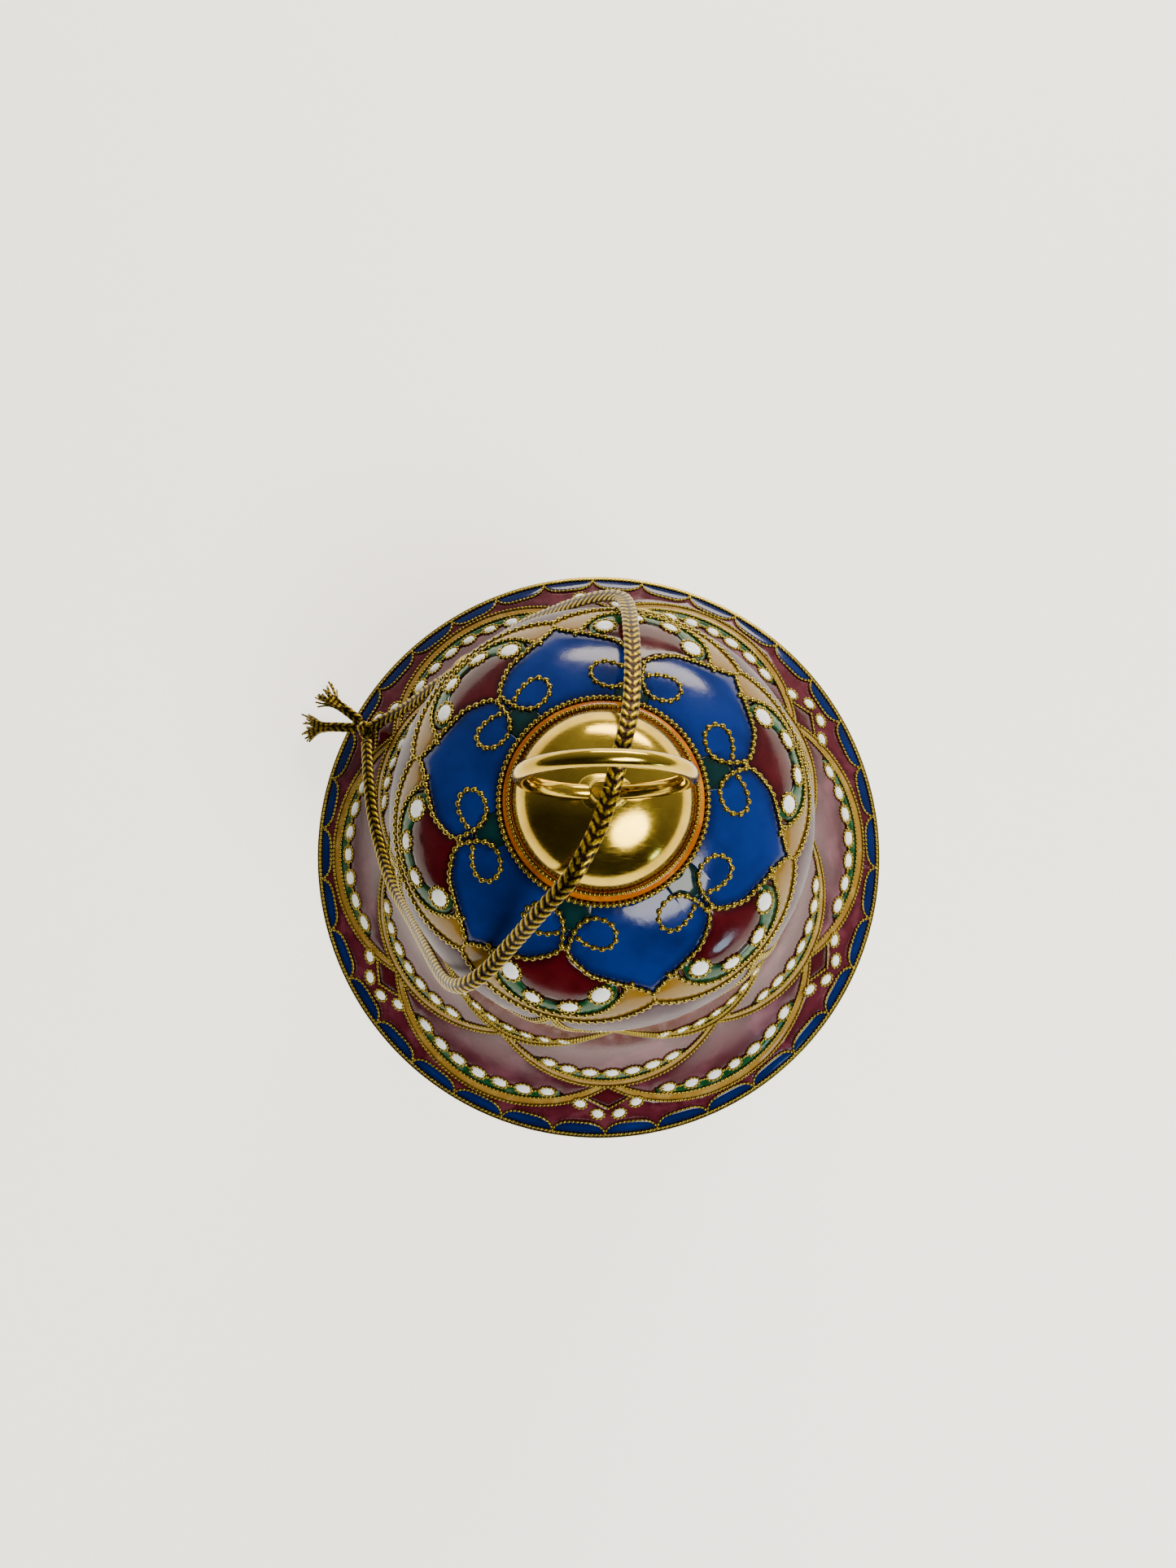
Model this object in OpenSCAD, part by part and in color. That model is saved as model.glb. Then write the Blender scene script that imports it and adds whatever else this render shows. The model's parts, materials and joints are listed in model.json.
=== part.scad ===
// Cloisonne hanging bell: a spun copper bell with enamel fields between gilt
// wires, a brass cap with a hanging ring, a hung clapper and a braided cord.
// Millimetres, +Z up. The origin is the centre of the rim, on the rim's plane.

/* [Bell] */
// Radius at the rim
rim_r = 32; // [26:0.5:39]
// Radius of the waist, where the flare has died out
waist_r = 18; // [15:0.5:22]
// Height over which the flare falls to a third of its width
flare_k = 7; // [5:0.5:9]
// Height of the shoulder, where the crown begins
shoulder_z = 33; // [27:0.5:40]
// Height of the crown's curve above the shoulder
crown_h = 11.5; // [9:0.5:14]
// Width of the collar between the enamel and the cap
collar_w = 0.9; // [0.5:0.1:2]

/* [Wall] */
// Thickness of the fired enamel outside
enamel_t = 0.3; // [0.2:0.05:0.5]
// Thickness of the copper
copper_t = 0.6; // [0.4:0.05:1]
// Thickness of the enamel inside
counter_t = 0.2; // [0.1:0.05:0.3]
// Height of the brass band that closes the lip
band_h = 0.25; // [0.2:0.05:1]

/* [Wires and pearls] */
// Radius of a pattern wire
wire_r = 0.25; // [0.15:0.01:0.35]
// Radius of a white pearl
pearl_r = 0.6; // [0.3:0.05:0.7]
// How high a pearl stands above the enamel
pearl_rise = 0.2; // [0.1:0.05:0.3]
// Distance from a scale's lower wire to the middle of its pearls
pearl_gap = 2.1; // [1.5:0.1:2.4]
// Number of scales in each row
scales = 6; // [4:1:8]
// Number of pearls on each skirt scale
pearls = 7; // [3:1:9]
// Number of tongues along the rim
tongues = 34; // [24:1:40]
// Radius of a scroll on the petals
scroll_r = 1.25; // [0.8:0.05:1.5]

/* [Cap and ring] */
// Outer radius of the brass cap
cap_r = 7; // [5.5:0.1:7.2]
// Height of the cap's straight foot
cap_foot = 1; // [0.6:0.1:2]
// Height of the cap's dome above its foot
cap_h = 4.3; // [3:0.1:6]
// Thickness of the cap's wall
cap_t = 0.6; // [0.4:0.1:1]
// Radius of the hanging ring, to the middle of its wire
ring_r = 5.8; // [4.5:0.1:7]
// Radius of the hanging ring's wire
ring_wire_r = 0.6; // [0.5:0.05:0.9]
// How far the hanging ring leans back, as it was soldered
ring_lean = 3.5; // [0:0.5:8]

/* [Stud and clapper] */
// Radius of the stud that holds the cap to the bell
stud_r = 1.25; // [1:0.05:1.5]
// Clearance round the stud in the bell and the washer
stud_gap = 0.1; // [0.05:0.05:0.2]
// Outer radius of the washer under the crown
washer_r = 3.4; // [3:0.1:4.5]
// Thickness of the washer
washer_t = 0.6; // [0.4:0.1:1]
// Distance across the nut's corners
nut_w = 5.2; // [4.6:0.1:6.5]
// Thickness of the nut
nut_t = 2; // [1.5:0.1:3]
// Length of bare stud between the nut and the eye
stud_tail = 1.5; // [1:0.1:3]
// Radius of the stud's eye, to the middle of its wire
eye_r = 1.6; // [1.5:0.05:2]
// Radius of the eye's wire
eye_wire_r = 0.5; // [0.4:0.05:0.5]
// Radius of the link, to the middle of its wire
link_r = 1.8; // [1.75:0.05:2.2]
// Radius of the link's wire
link_wire_r = 0.4; // [0.3:0.05:0.4]
// Radius of the clapper's eye, to the middle of its wire
hook_r = 1.5; // [1.4:0.05:1.8]
// Radius of the clapper's eye wire
hook_wire_r = 0.45; // [0.35:0.05:0.45]
// Running clearance where one eye hangs in another
hang_gap = 0.05; // [0.03:0.01:0.1]
// Radius of the clapper's rod
rod_r = 0.6; // [0.4:0.05:0.9]
// Radius of the clapper's ball
ball_r = 4; // [3:0.1:5]
// Height of the ball's centre above the rim's plane
ball_z = 9; // [7:0.5:14]
// Length of rod that is peened over below the ball
rod_tip = 0.6; // [0.3:0.1:1]

/* [Cord] */
// Width of the braided cord
cord_d = 1.2; // [0.9:0.1:1.3]
// Radius of the knot
knot_r = 1.25; // [0.9:0.05:1.4]

/* [Hidden] */
$fn = 64;

cobalt = "#0F3FA0";
maroon = "#5C1A2C";
rose = "#8A4A5A";
lilac = "#A08890";
amber = "#D07800";
gilt = "#C8B060";
brass = "#C9A24A";
copper = "#B06A3C";
cord_gold = "#C8A020";

wall_t = enamel_t + copper_t + counter_t;
collar_r = cap_r + collar_w;
tau = 360;
smooth = 0.01;

// How far the middle of a wire stands above the enamel
wire_lift = 0.05;

// Levels of the pattern, from 0 at the rim to 1 at the shoulder and 2 at the collar
level_band = band_h / shoulder_z;
level_foot = (band_h + wire_r - wire_lift) / shoulder_z;
level_tongue = 0.026;
level_skirt = 0.036;
level_flare = 0.12;
level_lower = 0.24;
level_waist = 0.53;
level_upper = 0.82;
level_crown = 1.27;
level_tip = 1.52;
level_stem = 1.78;
level_scroll = 1.88;
level_marks = 0.042;

// Turn of each row of scales about the bell's axis, in degrees
turn_crown = 15;
turn_upper = 46;
turn_waist = 25;
turn_lower = 4;
turn_flare = 33;
turn_skirt = 2;
tongue_turn = 1.2;

// The bell's outline. The flare is an exponential curve and the crown an ellipse.
flare_w = rim_r - waist_r;
function flare_r(z) = waist_r + flare_w * exp(-z / flare_k);
function flare_lean(z) = flare_w / flare_k * exp(-z / flare_k);
crown_r = flare_r(shoulder_z);
crown_end = acos(collar_r / crown_r);
function crown_normal(a) =
    let (n = [cos(a) / crown_r, sin(a) / crown_h]) n / norm(n);

// The outward normal and the point at a level and a depth below the surface
function outward(u) =
    u <= 1
        ? let (k = flare_lean(u * shoulder_z)) [1, k] / norm([1, k])
        : crown_normal((u - 1) * crown_end);
function at(u, depth = 0) =
    u <= 1
        ? let (z = u * shoulder_z)
            [flare_r(z) - depth * norm([1, flare_lean(z)]), z]
        : let (a = (u - 1) * crown_end)
            [crown_r * cos(a), shoulder_z + crown_h * sin(a)] - depth * crown_normal(a);
function turned(p, a) = [p[0] * cos(a), p[0] * sin(a), p[1]];
function on_bell(u, a, depth = 0) = turned(at(u, depth), a);

// The levels where every layer of the wall has a corner, so that the layers fit
row_edges = [
    level_band, level_skirt, level_flare, level_lower, level_waist, level_upper, 1,
    level_crown, level_tip, 2
];
row_steps = 3;
wall_levels = concat(
    [for (i = [0:len(row_edges) - 2], j = [0:row_steps - 1])
        row_edges[i] + (row_edges[i + 1] - row_edges[i]) * j / row_steps],
    [2]
);
function levels(low, high) = [for (u = wall_levels) if (u >= low && u <= high) u];
function reversed(list) = [for (i = [len(list) - 1:-1:0]) list[i]];

// A layer of the wall between two depths and two levels
module layer(low, high, outer, inner) {
    ups = levels(low, high);
    rotate_extrude()
        polygon(concat([for (u = ups) at(u, outer)], [for (u = reversed(ups)) at(u, inner)]));
}

// A layer that goes over the crown and in to the hole for the stud
module closed_layer(outer, inner) {
    ups = levels(level_band, 2);
    hole_r = stud_r + stud_gap;
    rotate_extrude()
        polygon(concat(
            [for (u = ups) at(u, outer)],
            [[hole_r, at(2, outer)[1]], [hole_r, at(2, inner)[1]]],
            [for (u = reversed(ups)) at(u, inner)]
        ));
}

// Stack of the fixings, from the seat under the cap down to the ball
seat_z = at(2, enamel_t)[1];
under_z = at(2, wall_t)[1];
nut_z = under_z - washer_t - nut_t;
eye_z = nut_z - stud_tail - eye_r;
link_hang_z = eye_z - eye_r;
link_z = link_hang_z + eye_wire_r + hang_gap + link_wire_r - link_r;
hook_hang_z = link_z - link_r;
hook_z = hook_hang_z + link_wire_r + hang_gap + hook_wire_r - hook_r;
dome_z = seat_z + cap_foot;
apex_z = dome_z + cap_h;
ring_rise = ring_r - ring_wire_r / 2;

// A tube that follows points, with its rings carried along without twist
function unit(v) = v / norm(v);
function tube_ring(p, along, side, r, sides) =
    let (x = square_to(side, along), y = cross(along, x))
        [for (k = [0:sides - 1]) p + r * (cos(tau * k / sides) * x + sin(tau * k / sides) * y)];
function tube_walls(rings, sides, closed) =
    let (last = closed ? rings - 1 : rings - 2)
        [for (i = [0:last], k = [0:sides - 1])
            let (j = (i + 1) % rings, m = (k + 1) % sides)
                [i * sides + k, j * sides + k, j * sides + m, i * sides + m]];
function square_to(v, along) = unit(v - (v * along) * along);
module open_tube(points, r, sides) {
    n = len(points);
    along = [for (i = [0:n - 1]) unit(points[min(i + 1, n - 1)] - points[max(i - 1, 0)])];
    first = square_to([0.3, 0.2, 1], along[0]);
    across = [for (i = 0, v = first; i < n; i = i + 1, v = square_to(v, along[min(i, n - 1)])) v];
    polyhedron(
        [for (i = [0:n - 1]) each tube_ring(points[i], along[i], across[i], r, sides)],
        concat(
            [[for (k = [0:sides - 1]) k]],
            tube_walls(n, sides, false),
            [[for (k = [sides - 1:-1:0]) (n - 1) * sides + k]]
        )
    );
}

// A wire that runs round the whole bell, up and down between levels
module wire_loop(waves, turn, steps, low, high, rise) {
    n = waves * steps;
    sides = 6;
    angles = [for (i = [0:n - 1]) turn + tau * i / n];
    phases = [for (i = [0:n - 1]) abs(2 * (i % steps) / steps - 1)];
    us = [for (t = phases) low + (high - low) * wave(1 - t, rise)];
    points = [for (i = [0:n - 1]) on_bell(us[i], angles[i], -wire_lift)];
    out = [for (i = [0:n - 1]) turned(outward(us[i]), angles[i])];
    polyhedron(
        [for (i = [0:n - 1])
            let (along = unit(points[(i + 1) % n] - points[(i + n - 1) % n]))
                each tube_ring(points[i], along, out[i], wire_r, sides)],
        tube_walls(n, sides, true)
    );
}

// The height of a scale's wire, from 0 at its lowest point to 1 where scales meet:
// rise > 0 is a round scale that hangs down, rise < 0 a petal that points up
function wave(t, rise) =
    rise > 0
        ? (1 - sqrt(1 - pow(rise * t, 2))) / (1 - sqrt(1 - rise * rise))
        : pow(t, -rise);

module scale_wires(turn, low, high) {
    wire_loop(scales, turn, scale_steps, low, high, scale_round);
}
half_scale = tau / scales / 2;
scale_steps = 12;
tongue_steps = 4;
scale_round = 0.7;
petal_round = -1.4;

// A pearl is a short disc set into the enamel
module pearl(u, a, r = pearl_r) {
    n = outward(u);
    translate(on_bell(u, a))
        rotate([0, acos(n[1]), a])
            translate([0, 0, -pearl_seat])
                cylinder(r = r, h = pearl_seat + pearl_rise, $fn = 24);
}
pearl_seat = 0.15;

// Pearls along the inside of a scale's lower wire, in every scale of a row
module scale_pearls(turn, low, high, count, reach) {
    for (i = [0:scales - 1], j = [0:count - 1]) {
        t = count > 1 ? (2 * j / (count - 1) - 1) * reach : 0;
        u = low + (high - low) * wave(abs(t), scale_round);
        step = pearl_gap * smooth / norm(at(u + smooth) - at(u));
        pearl(u + step, turn + i * tau / scales + t * half_scale);
    }
}

module bell_shell() {
    color(copper) closed_layer(enamel_t, enamel_t + copper_t);
}
module counter_enamel() {
    color(cobalt) closed_layer(enamel_t + copper_t, wall_t);
}
module rim_band() {
    in_r = at(level_band, wall_t)[0];
    color(brass) rotate_extrude()
        polygon([[in_r, 0], [rim_r, 0], at(level_band), [in_r, band_h]]);
}

module enamel_petals() { color(cobalt) layer(level_tip, 2, 0, enamel_t); }
module enamel_crown_scales() { color("#7A1220") layer(level_crown, level_tip, 0, enamel_t); }
module enamel_upper_scales() {
    color(lilac) {
        layer(level_upper, 1, 0, enamel_t);
        layer(1, level_crown, 0, enamel_t);
    }
}
module enamel_waist_scales() { color(lilac) layer(level_waist, level_upper, 0, enamel_t); }
module enamel_lower_scales() { color(rose) layer(level_lower, level_waist, 0, enamel_t); }
module enamel_flare_scales() { color(rose) layer(level_flare, level_lower, 0, enamel_t); }
module enamel_skirt_scales() { color(rose) layer(level_skirt, level_flare, 0, enamel_t); }
module enamel_rim() { color(maroon) layer(level_band, level_skirt, 0, enamel_t); }

module wire_petals() {
    color(gilt) wire_loop(scales, turn_crown - half_scale, scale_steps,
        level_tip, level_stem, petal_round);
}
module wire_crown_scales() { color(gilt) scale_wires(turn_crown, level_crown, level_tip); }
module wire_upper_scales() { color(gilt) scale_wires(turn_upper, level_upper, level_crown); }
module wire_waist_scales() { color(gilt) scale_wires(turn_waist, level_waist, level_upper); }
module wire_lower_scales() { color(gilt) scale_wires(turn_lower, level_lower, level_waist); }
module wire_flare_scales() { color(gilt) scale_wires(turn_flare, level_flare, level_lower); }
module wire_skirt_scales() { color(gilt) scale_wires(turn_skirt, level_skirt, level_flare); }
module wire_rim_tongues() {
    color(gilt) wire_loop(tongues, tongue_turn, tongue_steps, level_tongue, level_foot, scale_round);
}

// Two scrolls on each petal, one to each side of the stem between the petals
module wire_scrolls() {
    scroll_turn = 11.5;
    n = outward(level_scroll);
    color(gilt)
        for (i = [0:scales - 1], side = [-1, 1])
            let (a = turn_crown + i * tau / scales + side * scroll_turn)
                translate(on_bell(level_scroll, a))
                    rotate([0, acos(n[1]), a])
                        rotate_extrude()
                            translate([scroll_r, 0])
                                circle(r = wire_r, $fn = 16);
}

module pearls_crown() {
    color("white") scale_pearls(turn_crown, level_crown, level_tip, 4, 0.5);
}
module pearls_upper() {
    color("white") scale_pearls(turn_upper, level_upper, level_crown, pearls, 0.5);
}
module pearls_waist() {
    color("white") scale_pearls(turn_waist, level_waist, level_upper, pearls, 0.6);
}
module pearls_lower() {
    color("white") scale_pearls(turn_lower, level_lower, level_waist, pearls, 0.6);
}
module pearls_flare() {
    color("white") scale_pearls(turn_flare, level_flare, level_lower, pearls, 0.57);
}
module pearls_skirt() {
    color("white") scale_pearls(turn_skirt, level_skirt, level_flare, pearls, 0.57);
}

// A pair of pearls on each side, below every place where two skirt scales meet
module pearls_marks() {
    mark_r = 0.45;
    outer_rise = 0.03;
    outer_turn = 6;
    inner_turn = 2.3;
    color("white")
        for (i = [0:scales - 1], side = [-1, 1])
            let (a = turn_skirt + half_scale + i * tau / scales) {
                pearl(level_marks + outer_rise, a + side * outer_turn, mark_r);
                pearl(level_marks, a + side * inner_turn, mark_r);
            }
}

// Collar between the enamel and the cap
collar_h = 0.9;
collar_in = cap_r + 0.05;
collar_out = at(2, enamel_t)[0];
module collar_ring() {
    color(brass) translate([0, 0, seat_z])
        difference() {
            cylinder(r = collar_out, h = collar_h / 2);
            translate([0, 0, -1]) cylinder(r = collar_in, h = collar_h + 2);
        }
}
module collar_enamel() {
    color(amber) rotate_extrude()
        polygon([
            [collar_in, seat_z + collar_h / 2], [collar_out, seat_z + collar_h / 2],
            [collar_in + (collar_out - collar_in) / 3, seat_z + collar_h],
            [collar_in, seat_z + collar_h]
        ]);
}
module round_wire(r, z) {
    rotate_extrude() translate([r, z]) circle(r = wire_r, $fn = 16);
}
module wire_collar_lower() {
    color(gilt) round_wire(collar_out + wire_r, seat_z + collar_h / 2);
}
module wire_collar_upper() {
    color(gilt) round_wire(collar_in + wire_r, seat_z + collar_h + wire_r / 2);
}

// Brass cap, its ring and the stud that draws it down on the bell
function dome(r, h, z, steps) = [for (i = [0:steps]) [r * cos(90 * i / steps), z + h * sin(90 * i / steps)]];
module cap_dome() {
    color(brass) rotate_extrude()
        polygon(concat(
            [[cap_r, seat_z]], dome(cap_r, cap_h, dome_z, 12),
            reversed(dome(cap_r - cap_t, cap_h - cap_t, dome_z, 12)), [[cap_r - cap_t, seat_z]]
        ));
}
module ring_solder() {
    fillet_r = 2 * ring_wire_r;
    color(brass) translate([0, 0, apex_z - cap_t / 2])
        cylinder(r1 = fillet_r, r2 = ring_wire_r, h = cap_t / 2 + ring_wire_r);
}
module hanging_ring() {
    color(brass) translate([0, 0, apex_z]) rotate([-ring_lean, 0, 0])
        translate([0, 0, ring_rise]) rotate([90, 0, 0])
            rotate_extrude() translate([ring_r, 0]) circle(r = ring_wire_r, $fn = 32);
}
stud_top = dome_z + (cap_h - cap_t) * sqrt(1 - pow(stud_r / (cap_r - cap_t), 2));
module centre_stud() {
    foot_z = eye_z + eye_r;
    color(brass) {
        difference() {
            translate([0, 0, foot_z]) cylinder(r = stud_r, h = stud_top - foot_z);
            hanging_ring();
        }
        translate([0, 0, eye_z]) rotate([90, 0, 0])
            rotate_extrude() translate([eye_r, 0]) circle(r = eye_wire_r, $fn = 24);
    }
}
module inner_washer() {
    color(brass) translate([0, 0, under_z - washer_t])
        difference() {
            cylinder(r = washer_r, h = washer_t);
            translate([0, 0, -1]) cylinder(r = stud_r + stud_gap, h = washer_t + 2);
        }
}
module inner_nut() {
    color(brass) translate([0, 0, nut_z])
        difference() {
            cylinder(d = nut_w, h = nut_t, $fn = 6);
            translate([0, 0, -1]) cylinder(r = stud_r, h = nut_t + 2);
        }
}

// Clapper: a link on the stud's eye, and a rod with a ball on the link
module clapper_link() {
    color(brass) translate([0, 0, link_z]) rotate([0, 90, 0])
        rotate_extrude() translate([link_r, 0]) circle(r = link_wire_r, $fn = 24);
}
module clapper_stem() {
    rod_top = hook_z - hook_r;
    rod_foot = ball_z - ball_r - rod_tip;
    color(brass) {
        translate([0, 0, hook_z]) rotate([90, 0, 0])
            rotate_extrude() translate([hook_r, 0]) circle(r = hook_wire_r, $fn = 24);
        translate([0, 0, rod_foot]) cylinder(r = rod_r, h = rod_top - rod_foot);
    }
}
module clapper_ball() {
    color(brass) translate([0, 0, ball_z])
        difference() {
            sphere(r = ball_r);
            translate([0, 0, -2 * ball_r]) cylinder(r = rod_r, h = 4 * ball_r);
        }
}

// A route with a point added halfway along each of its spans, on a smooth curve
function route_point(p, i) =
    let (n = len(p))
        i < 0 ? 2 * p[0] - p[1] : i >= n ? 2 * p[n - 1] - p[n - 2] : p[i];
function halfway(p, i) =
    (9 * (p[i] + p[i + 1]) - route_point(p, i - 1) - route_point(p, i + 2)) / 16;
function smoothed(p) = [
    for (i = [0:len(p) - 2]) each [p[i], halfway(p, i)],
    p[len(p) - 1]
];

// The cord's route: from the knot up the back of the bell, through the ring,
// over the front of the crown and back along the side to the knot
cord_back = [
    [-25.4, 13.3, 3.9], [-23.5, 14.1, 5], [-21, 15, 7], [-18, 16.4, 10],
    [-15, 17.5, 13], [-11.5, 18.7, 18], [-7.7, 19.3, 24], [-4.5, 19.4, 28.5],
    [-2, 19.3, 32], [0.3, 18.9, 35], [1.7, 18, 37.3], [2.1, 16.2, 40],
    [2.2, 13.5, 43.3], [2.2, 10, 46.2], [1.9, 6, 48.6], [1.2, 2.8, 49.9], [0.5, 0, 49.6]
];
cord_front = [
    [0.5, 0, 49.6], [-0.4, -2.6, 50], [-1.4, -4.7, 50.3], [-2.6, -6.6, 49.6],
    [-4.9, -8.9, 46.8], [-7, -11, 43.5], [-8.7, -12.7, 41.1], [-10.2, -13.8, 39.3],
    [-11.8, -14.3, 37], [-13.4, -13.7, 33.5], [-15.8, -11.2, 27], [-18, -8.8, 20.5],
    [-19.9, -6.7, 15.5], [-21.7, -4, 12.2], [-23.1, -0.8, 9.9], [-24.3, 3, 8.2],
    [-25, 6.5, 7], [-25.5, 9.5, 5.6], [-25.8, 11.5, 4.6]
];
knot_at = [-26.1, 13.1, 3.3];
tail_long = [[-27, 13.3, 3.1], [-29.5, 13.5, 2.7], [-31.6, 13.6, 2.2], [-33.6, 13.7, 1.8]];
tail_short = [[-26.8, 14, 3.2], [-28.3, 15.2, 3], [-29.8, 16.3, 2.6], [-31.2, 17.3, 2.2]];
cord_sides = 8;
module cord_strand_back() { color(cord_gold) open_tube(smoothed(cord_back), cord_d / 2, cord_sides); }
module cord_strand_front() { color(cord_gold) open_tube(smoothed(cord_front), cord_d / 2, cord_sides); }
module cord_knot() { color(cord_gold) translate(knot_at) sphere(r = knot_r); }
module cord_tail_long() { color(cord_gold) open_tube(tail_long, cord_d / 2, cord_sides); }
module cord_tail_short() { color(cord_gold) open_tube(tail_short, cord_d / 2, cord_sides); }

bell_shell();
counter_enamel();
rim_band();
enamel_petals();
enamel_crown_scales();
enamel_upper_scales();
enamel_waist_scales();
enamel_lower_scales();
enamel_flare_scales();
enamel_skirt_scales();
enamel_rim();
wire_petals();
wire_scrolls();
wire_crown_scales();
wire_upper_scales();
wire_waist_scales();
wire_lower_scales();
wire_flare_scales();
wire_skirt_scales();
wire_rim_tongues();
pearls_crown();
pearls_upper();
pearls_waist();
pearls_lower();
pearls_flare();
pearls_skirt();
pearls_marks();
collar_ring();
collar_enamel();
wire_collar_lower();
wire_collar_upper();
cap_dome();
ring_solder();
hanging_ring();
centre_stud();
inner_washer();
inner_nut();
clapper_link();
clapper_stem();
clapper_ball();
cord_strand_back();
cord_strand_front();
cord_knot();
cord_tail_long();
cord_tail_short();
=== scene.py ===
import collections
import json
import math
import random

import bmesh
import bpy
import numpy as np
from mathutils import Matrix, Vector

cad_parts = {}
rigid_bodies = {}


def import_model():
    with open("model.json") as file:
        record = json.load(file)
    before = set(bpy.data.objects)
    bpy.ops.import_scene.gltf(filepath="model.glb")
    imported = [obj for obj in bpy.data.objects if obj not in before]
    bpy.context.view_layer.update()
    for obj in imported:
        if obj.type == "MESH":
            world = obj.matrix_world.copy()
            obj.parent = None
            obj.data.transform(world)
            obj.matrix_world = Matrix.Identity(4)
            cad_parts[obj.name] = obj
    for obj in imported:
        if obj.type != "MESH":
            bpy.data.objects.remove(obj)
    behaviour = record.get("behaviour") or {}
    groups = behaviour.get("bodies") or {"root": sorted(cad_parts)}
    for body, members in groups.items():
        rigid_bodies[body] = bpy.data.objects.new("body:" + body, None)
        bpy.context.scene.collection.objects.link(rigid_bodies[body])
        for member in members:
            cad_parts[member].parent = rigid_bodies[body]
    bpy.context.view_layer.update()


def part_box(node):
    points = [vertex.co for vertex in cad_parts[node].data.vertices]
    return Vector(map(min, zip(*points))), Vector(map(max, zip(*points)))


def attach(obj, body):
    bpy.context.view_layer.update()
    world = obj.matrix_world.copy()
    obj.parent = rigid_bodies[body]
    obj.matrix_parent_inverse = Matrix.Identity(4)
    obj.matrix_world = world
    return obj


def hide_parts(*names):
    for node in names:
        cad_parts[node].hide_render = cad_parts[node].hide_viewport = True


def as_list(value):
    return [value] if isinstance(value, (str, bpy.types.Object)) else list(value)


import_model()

bl_info = {
    "name": "Cloisonne bell ornament",
    "version": (1, 0, 0),
    "blender": (4, 5, 0),
    "location": "3D View > Sidebar > Bell",
    "description": "Enamelled hanging bell with gilt wires, brass cap, clapper and braided cord",
    "category": "Add Mesh",
}

MM = 0.001
SCALES = 6
SECTOR = 360 / SCALES
HALF = SECTOR / 2
# How far round the first tongue of the rim stands from the X axis
TONGUE_TURN = 1.2
# The first and last degree of a row's string of pearls and of its green crescent
STRING_END = 18.5
CRESCENT_END = 19.5
# Half the width of a garnet mark, in degrees
MARK_HALF = 5.2
# Radii of the stud and of the hole that it passes through, in mm
STUD = 1.25
STUD_HOLE = 1.35


# ---------------------------------------------------------------- sizes and colours


def length(name, description, default_mm):
    """A size that a user may change, given in mm and kept in metres."""
    return bpy.props.FloatProperty(
        name=name, description=description, default=default_mm * MM, unit="LENGTH",
        subtype="DISTANCE", precision=5)


def paint(name, description, default):
    """A colour that a user may change, as an sRGB hex value."""
    return bpy.props.StringProperty(name=name, description=description, default=default)


class BellSizes(bpy.types.PropertyGroup):
    """Sizes of the bell's outline, wires, pearls, fittings and cord"""

    waist_radius: length("Waist radius", "Radius where the flare has died out", 18)
    flare_height: length("Flare height", "Height over which the flare falls to a third", 7)
    shoulder_height: length("Shoulder height", "Where the crown begins", 33)
    crown_height: length("Crown height", "Height of the crown's curve", 11.5)
    collar_radius: length("Collar radius", "Where the crown's enamel ends", 7.9)
    enamel_depth: length("Enamel", "Thickness of the fired enamel outside", 0.3)
    copper_depth: length("Copper", "Thickness of the copper", 0.6)
    counter_depth: length("Counter enamel", "Thickness of the enamel inside", 0.2)
    cell_rise: length("Enamel crown", "How far a cell's middle stands above its edge", 0.09)
    wire_width: length("Wire width", "Width of the twisted wire", 0.46)
    fine_wire_width: length("Fine wire width", "Width of the wire round a pearl", 0.36)
    twist_pitch: length("Twist", "Distance between two turns of a twisted wire", 0.66)
    cord_width: length("Cord width", "Width of the flat braid", 1.35)
    cord_thickness: length("Cord thickness", "Thickness of the flat braid", 0.62)
    braid_pitch: length("Braid pitch", "Distance between two chevrons", 0.8)
    tongues: bpy.props.IntProperty(
        name="Tongues", description="Number of blue tongues along the rim", default=34, min=12)


class BellColours(bpy.types.PropertyGroup):
    """Colours of the enamels and metals, as sRGB hex values"""

    cobalt: paint("Cobalt", "Petals and tongues, in the middle of a cell", "#04246C")
    # The deep cobalt beside the wires is partly pooled glass and partly painted shade
    cobalt_deep: paint("Deep cobalt", "Petals and tongues, beside the wires", "#01082E")
    red: paint("Dark red", "Crown scales", "#44040C")
    rose: paint("Rose", "Skirt and flare scales", "#521E2C")
    lilac: paint("Lilac", "Waist scales", "#3E2A34")
    maroon: paint("Maroon", "Ground along the rim", "#521A26")
    green: paint("Green", "Crescents", "#0C4420")
    sage: paint("Sage", "Pale drifts in the green", "#4A6A50")
    ochre: paint("Ochre", "Bands of the scales", "#94702A")
    orange: paint("Orange", "Ends of the crown's bands", "#7C5A0C")
    teal: paint("Teal", "Small fields between the scrolls", "#062A2C")
    white: paint("White", "Pearls", "#F4F6F6")
    amber: paint("Amber", "Collar", "#B05C00")
    gilt: paint("Gilt", "Twisted wires", "#94802A")
    brass: paint("Brass", "Cap, ring and fittings", "#C6A83C")
    copper: paint("Copper", "Bell body", "#B87048")
    cord: paint("Cord", "Metallised braid", "#A88C0A")
    table: paint("Table", "Floor", "#F6F0E4")


def linear(hex_text):
    """An sRGB hex value as linear red, green, blue and alpha."""
    parts = [int(hex_text[i:i + 2], 16) / 255 for i in (1, 3, 5)]
    return tuple(c / 12.92 if c <= 0.04045 else ((c + 0.055) / 1.055) ** 2.4
                 for c in parts) + (1.0,)


def add(tree, kind, inputs=None, **settings):
    """A node of that kind, with its settings, and its inputs set or linked."""
    made = tree.nodes.new(kind)
    for name, value in settings.items():
        setattr(made, name, value)
    for name, value in (inputs or {}).items():
        if isinstance(value, bpy.types.NodeSocket):
            tree.links.new(value, made.inputs[name])
        else:
            made.inputs[name].default_value = value
    return made


# ---------------------------------------------------------------- the bell's outline


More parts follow.
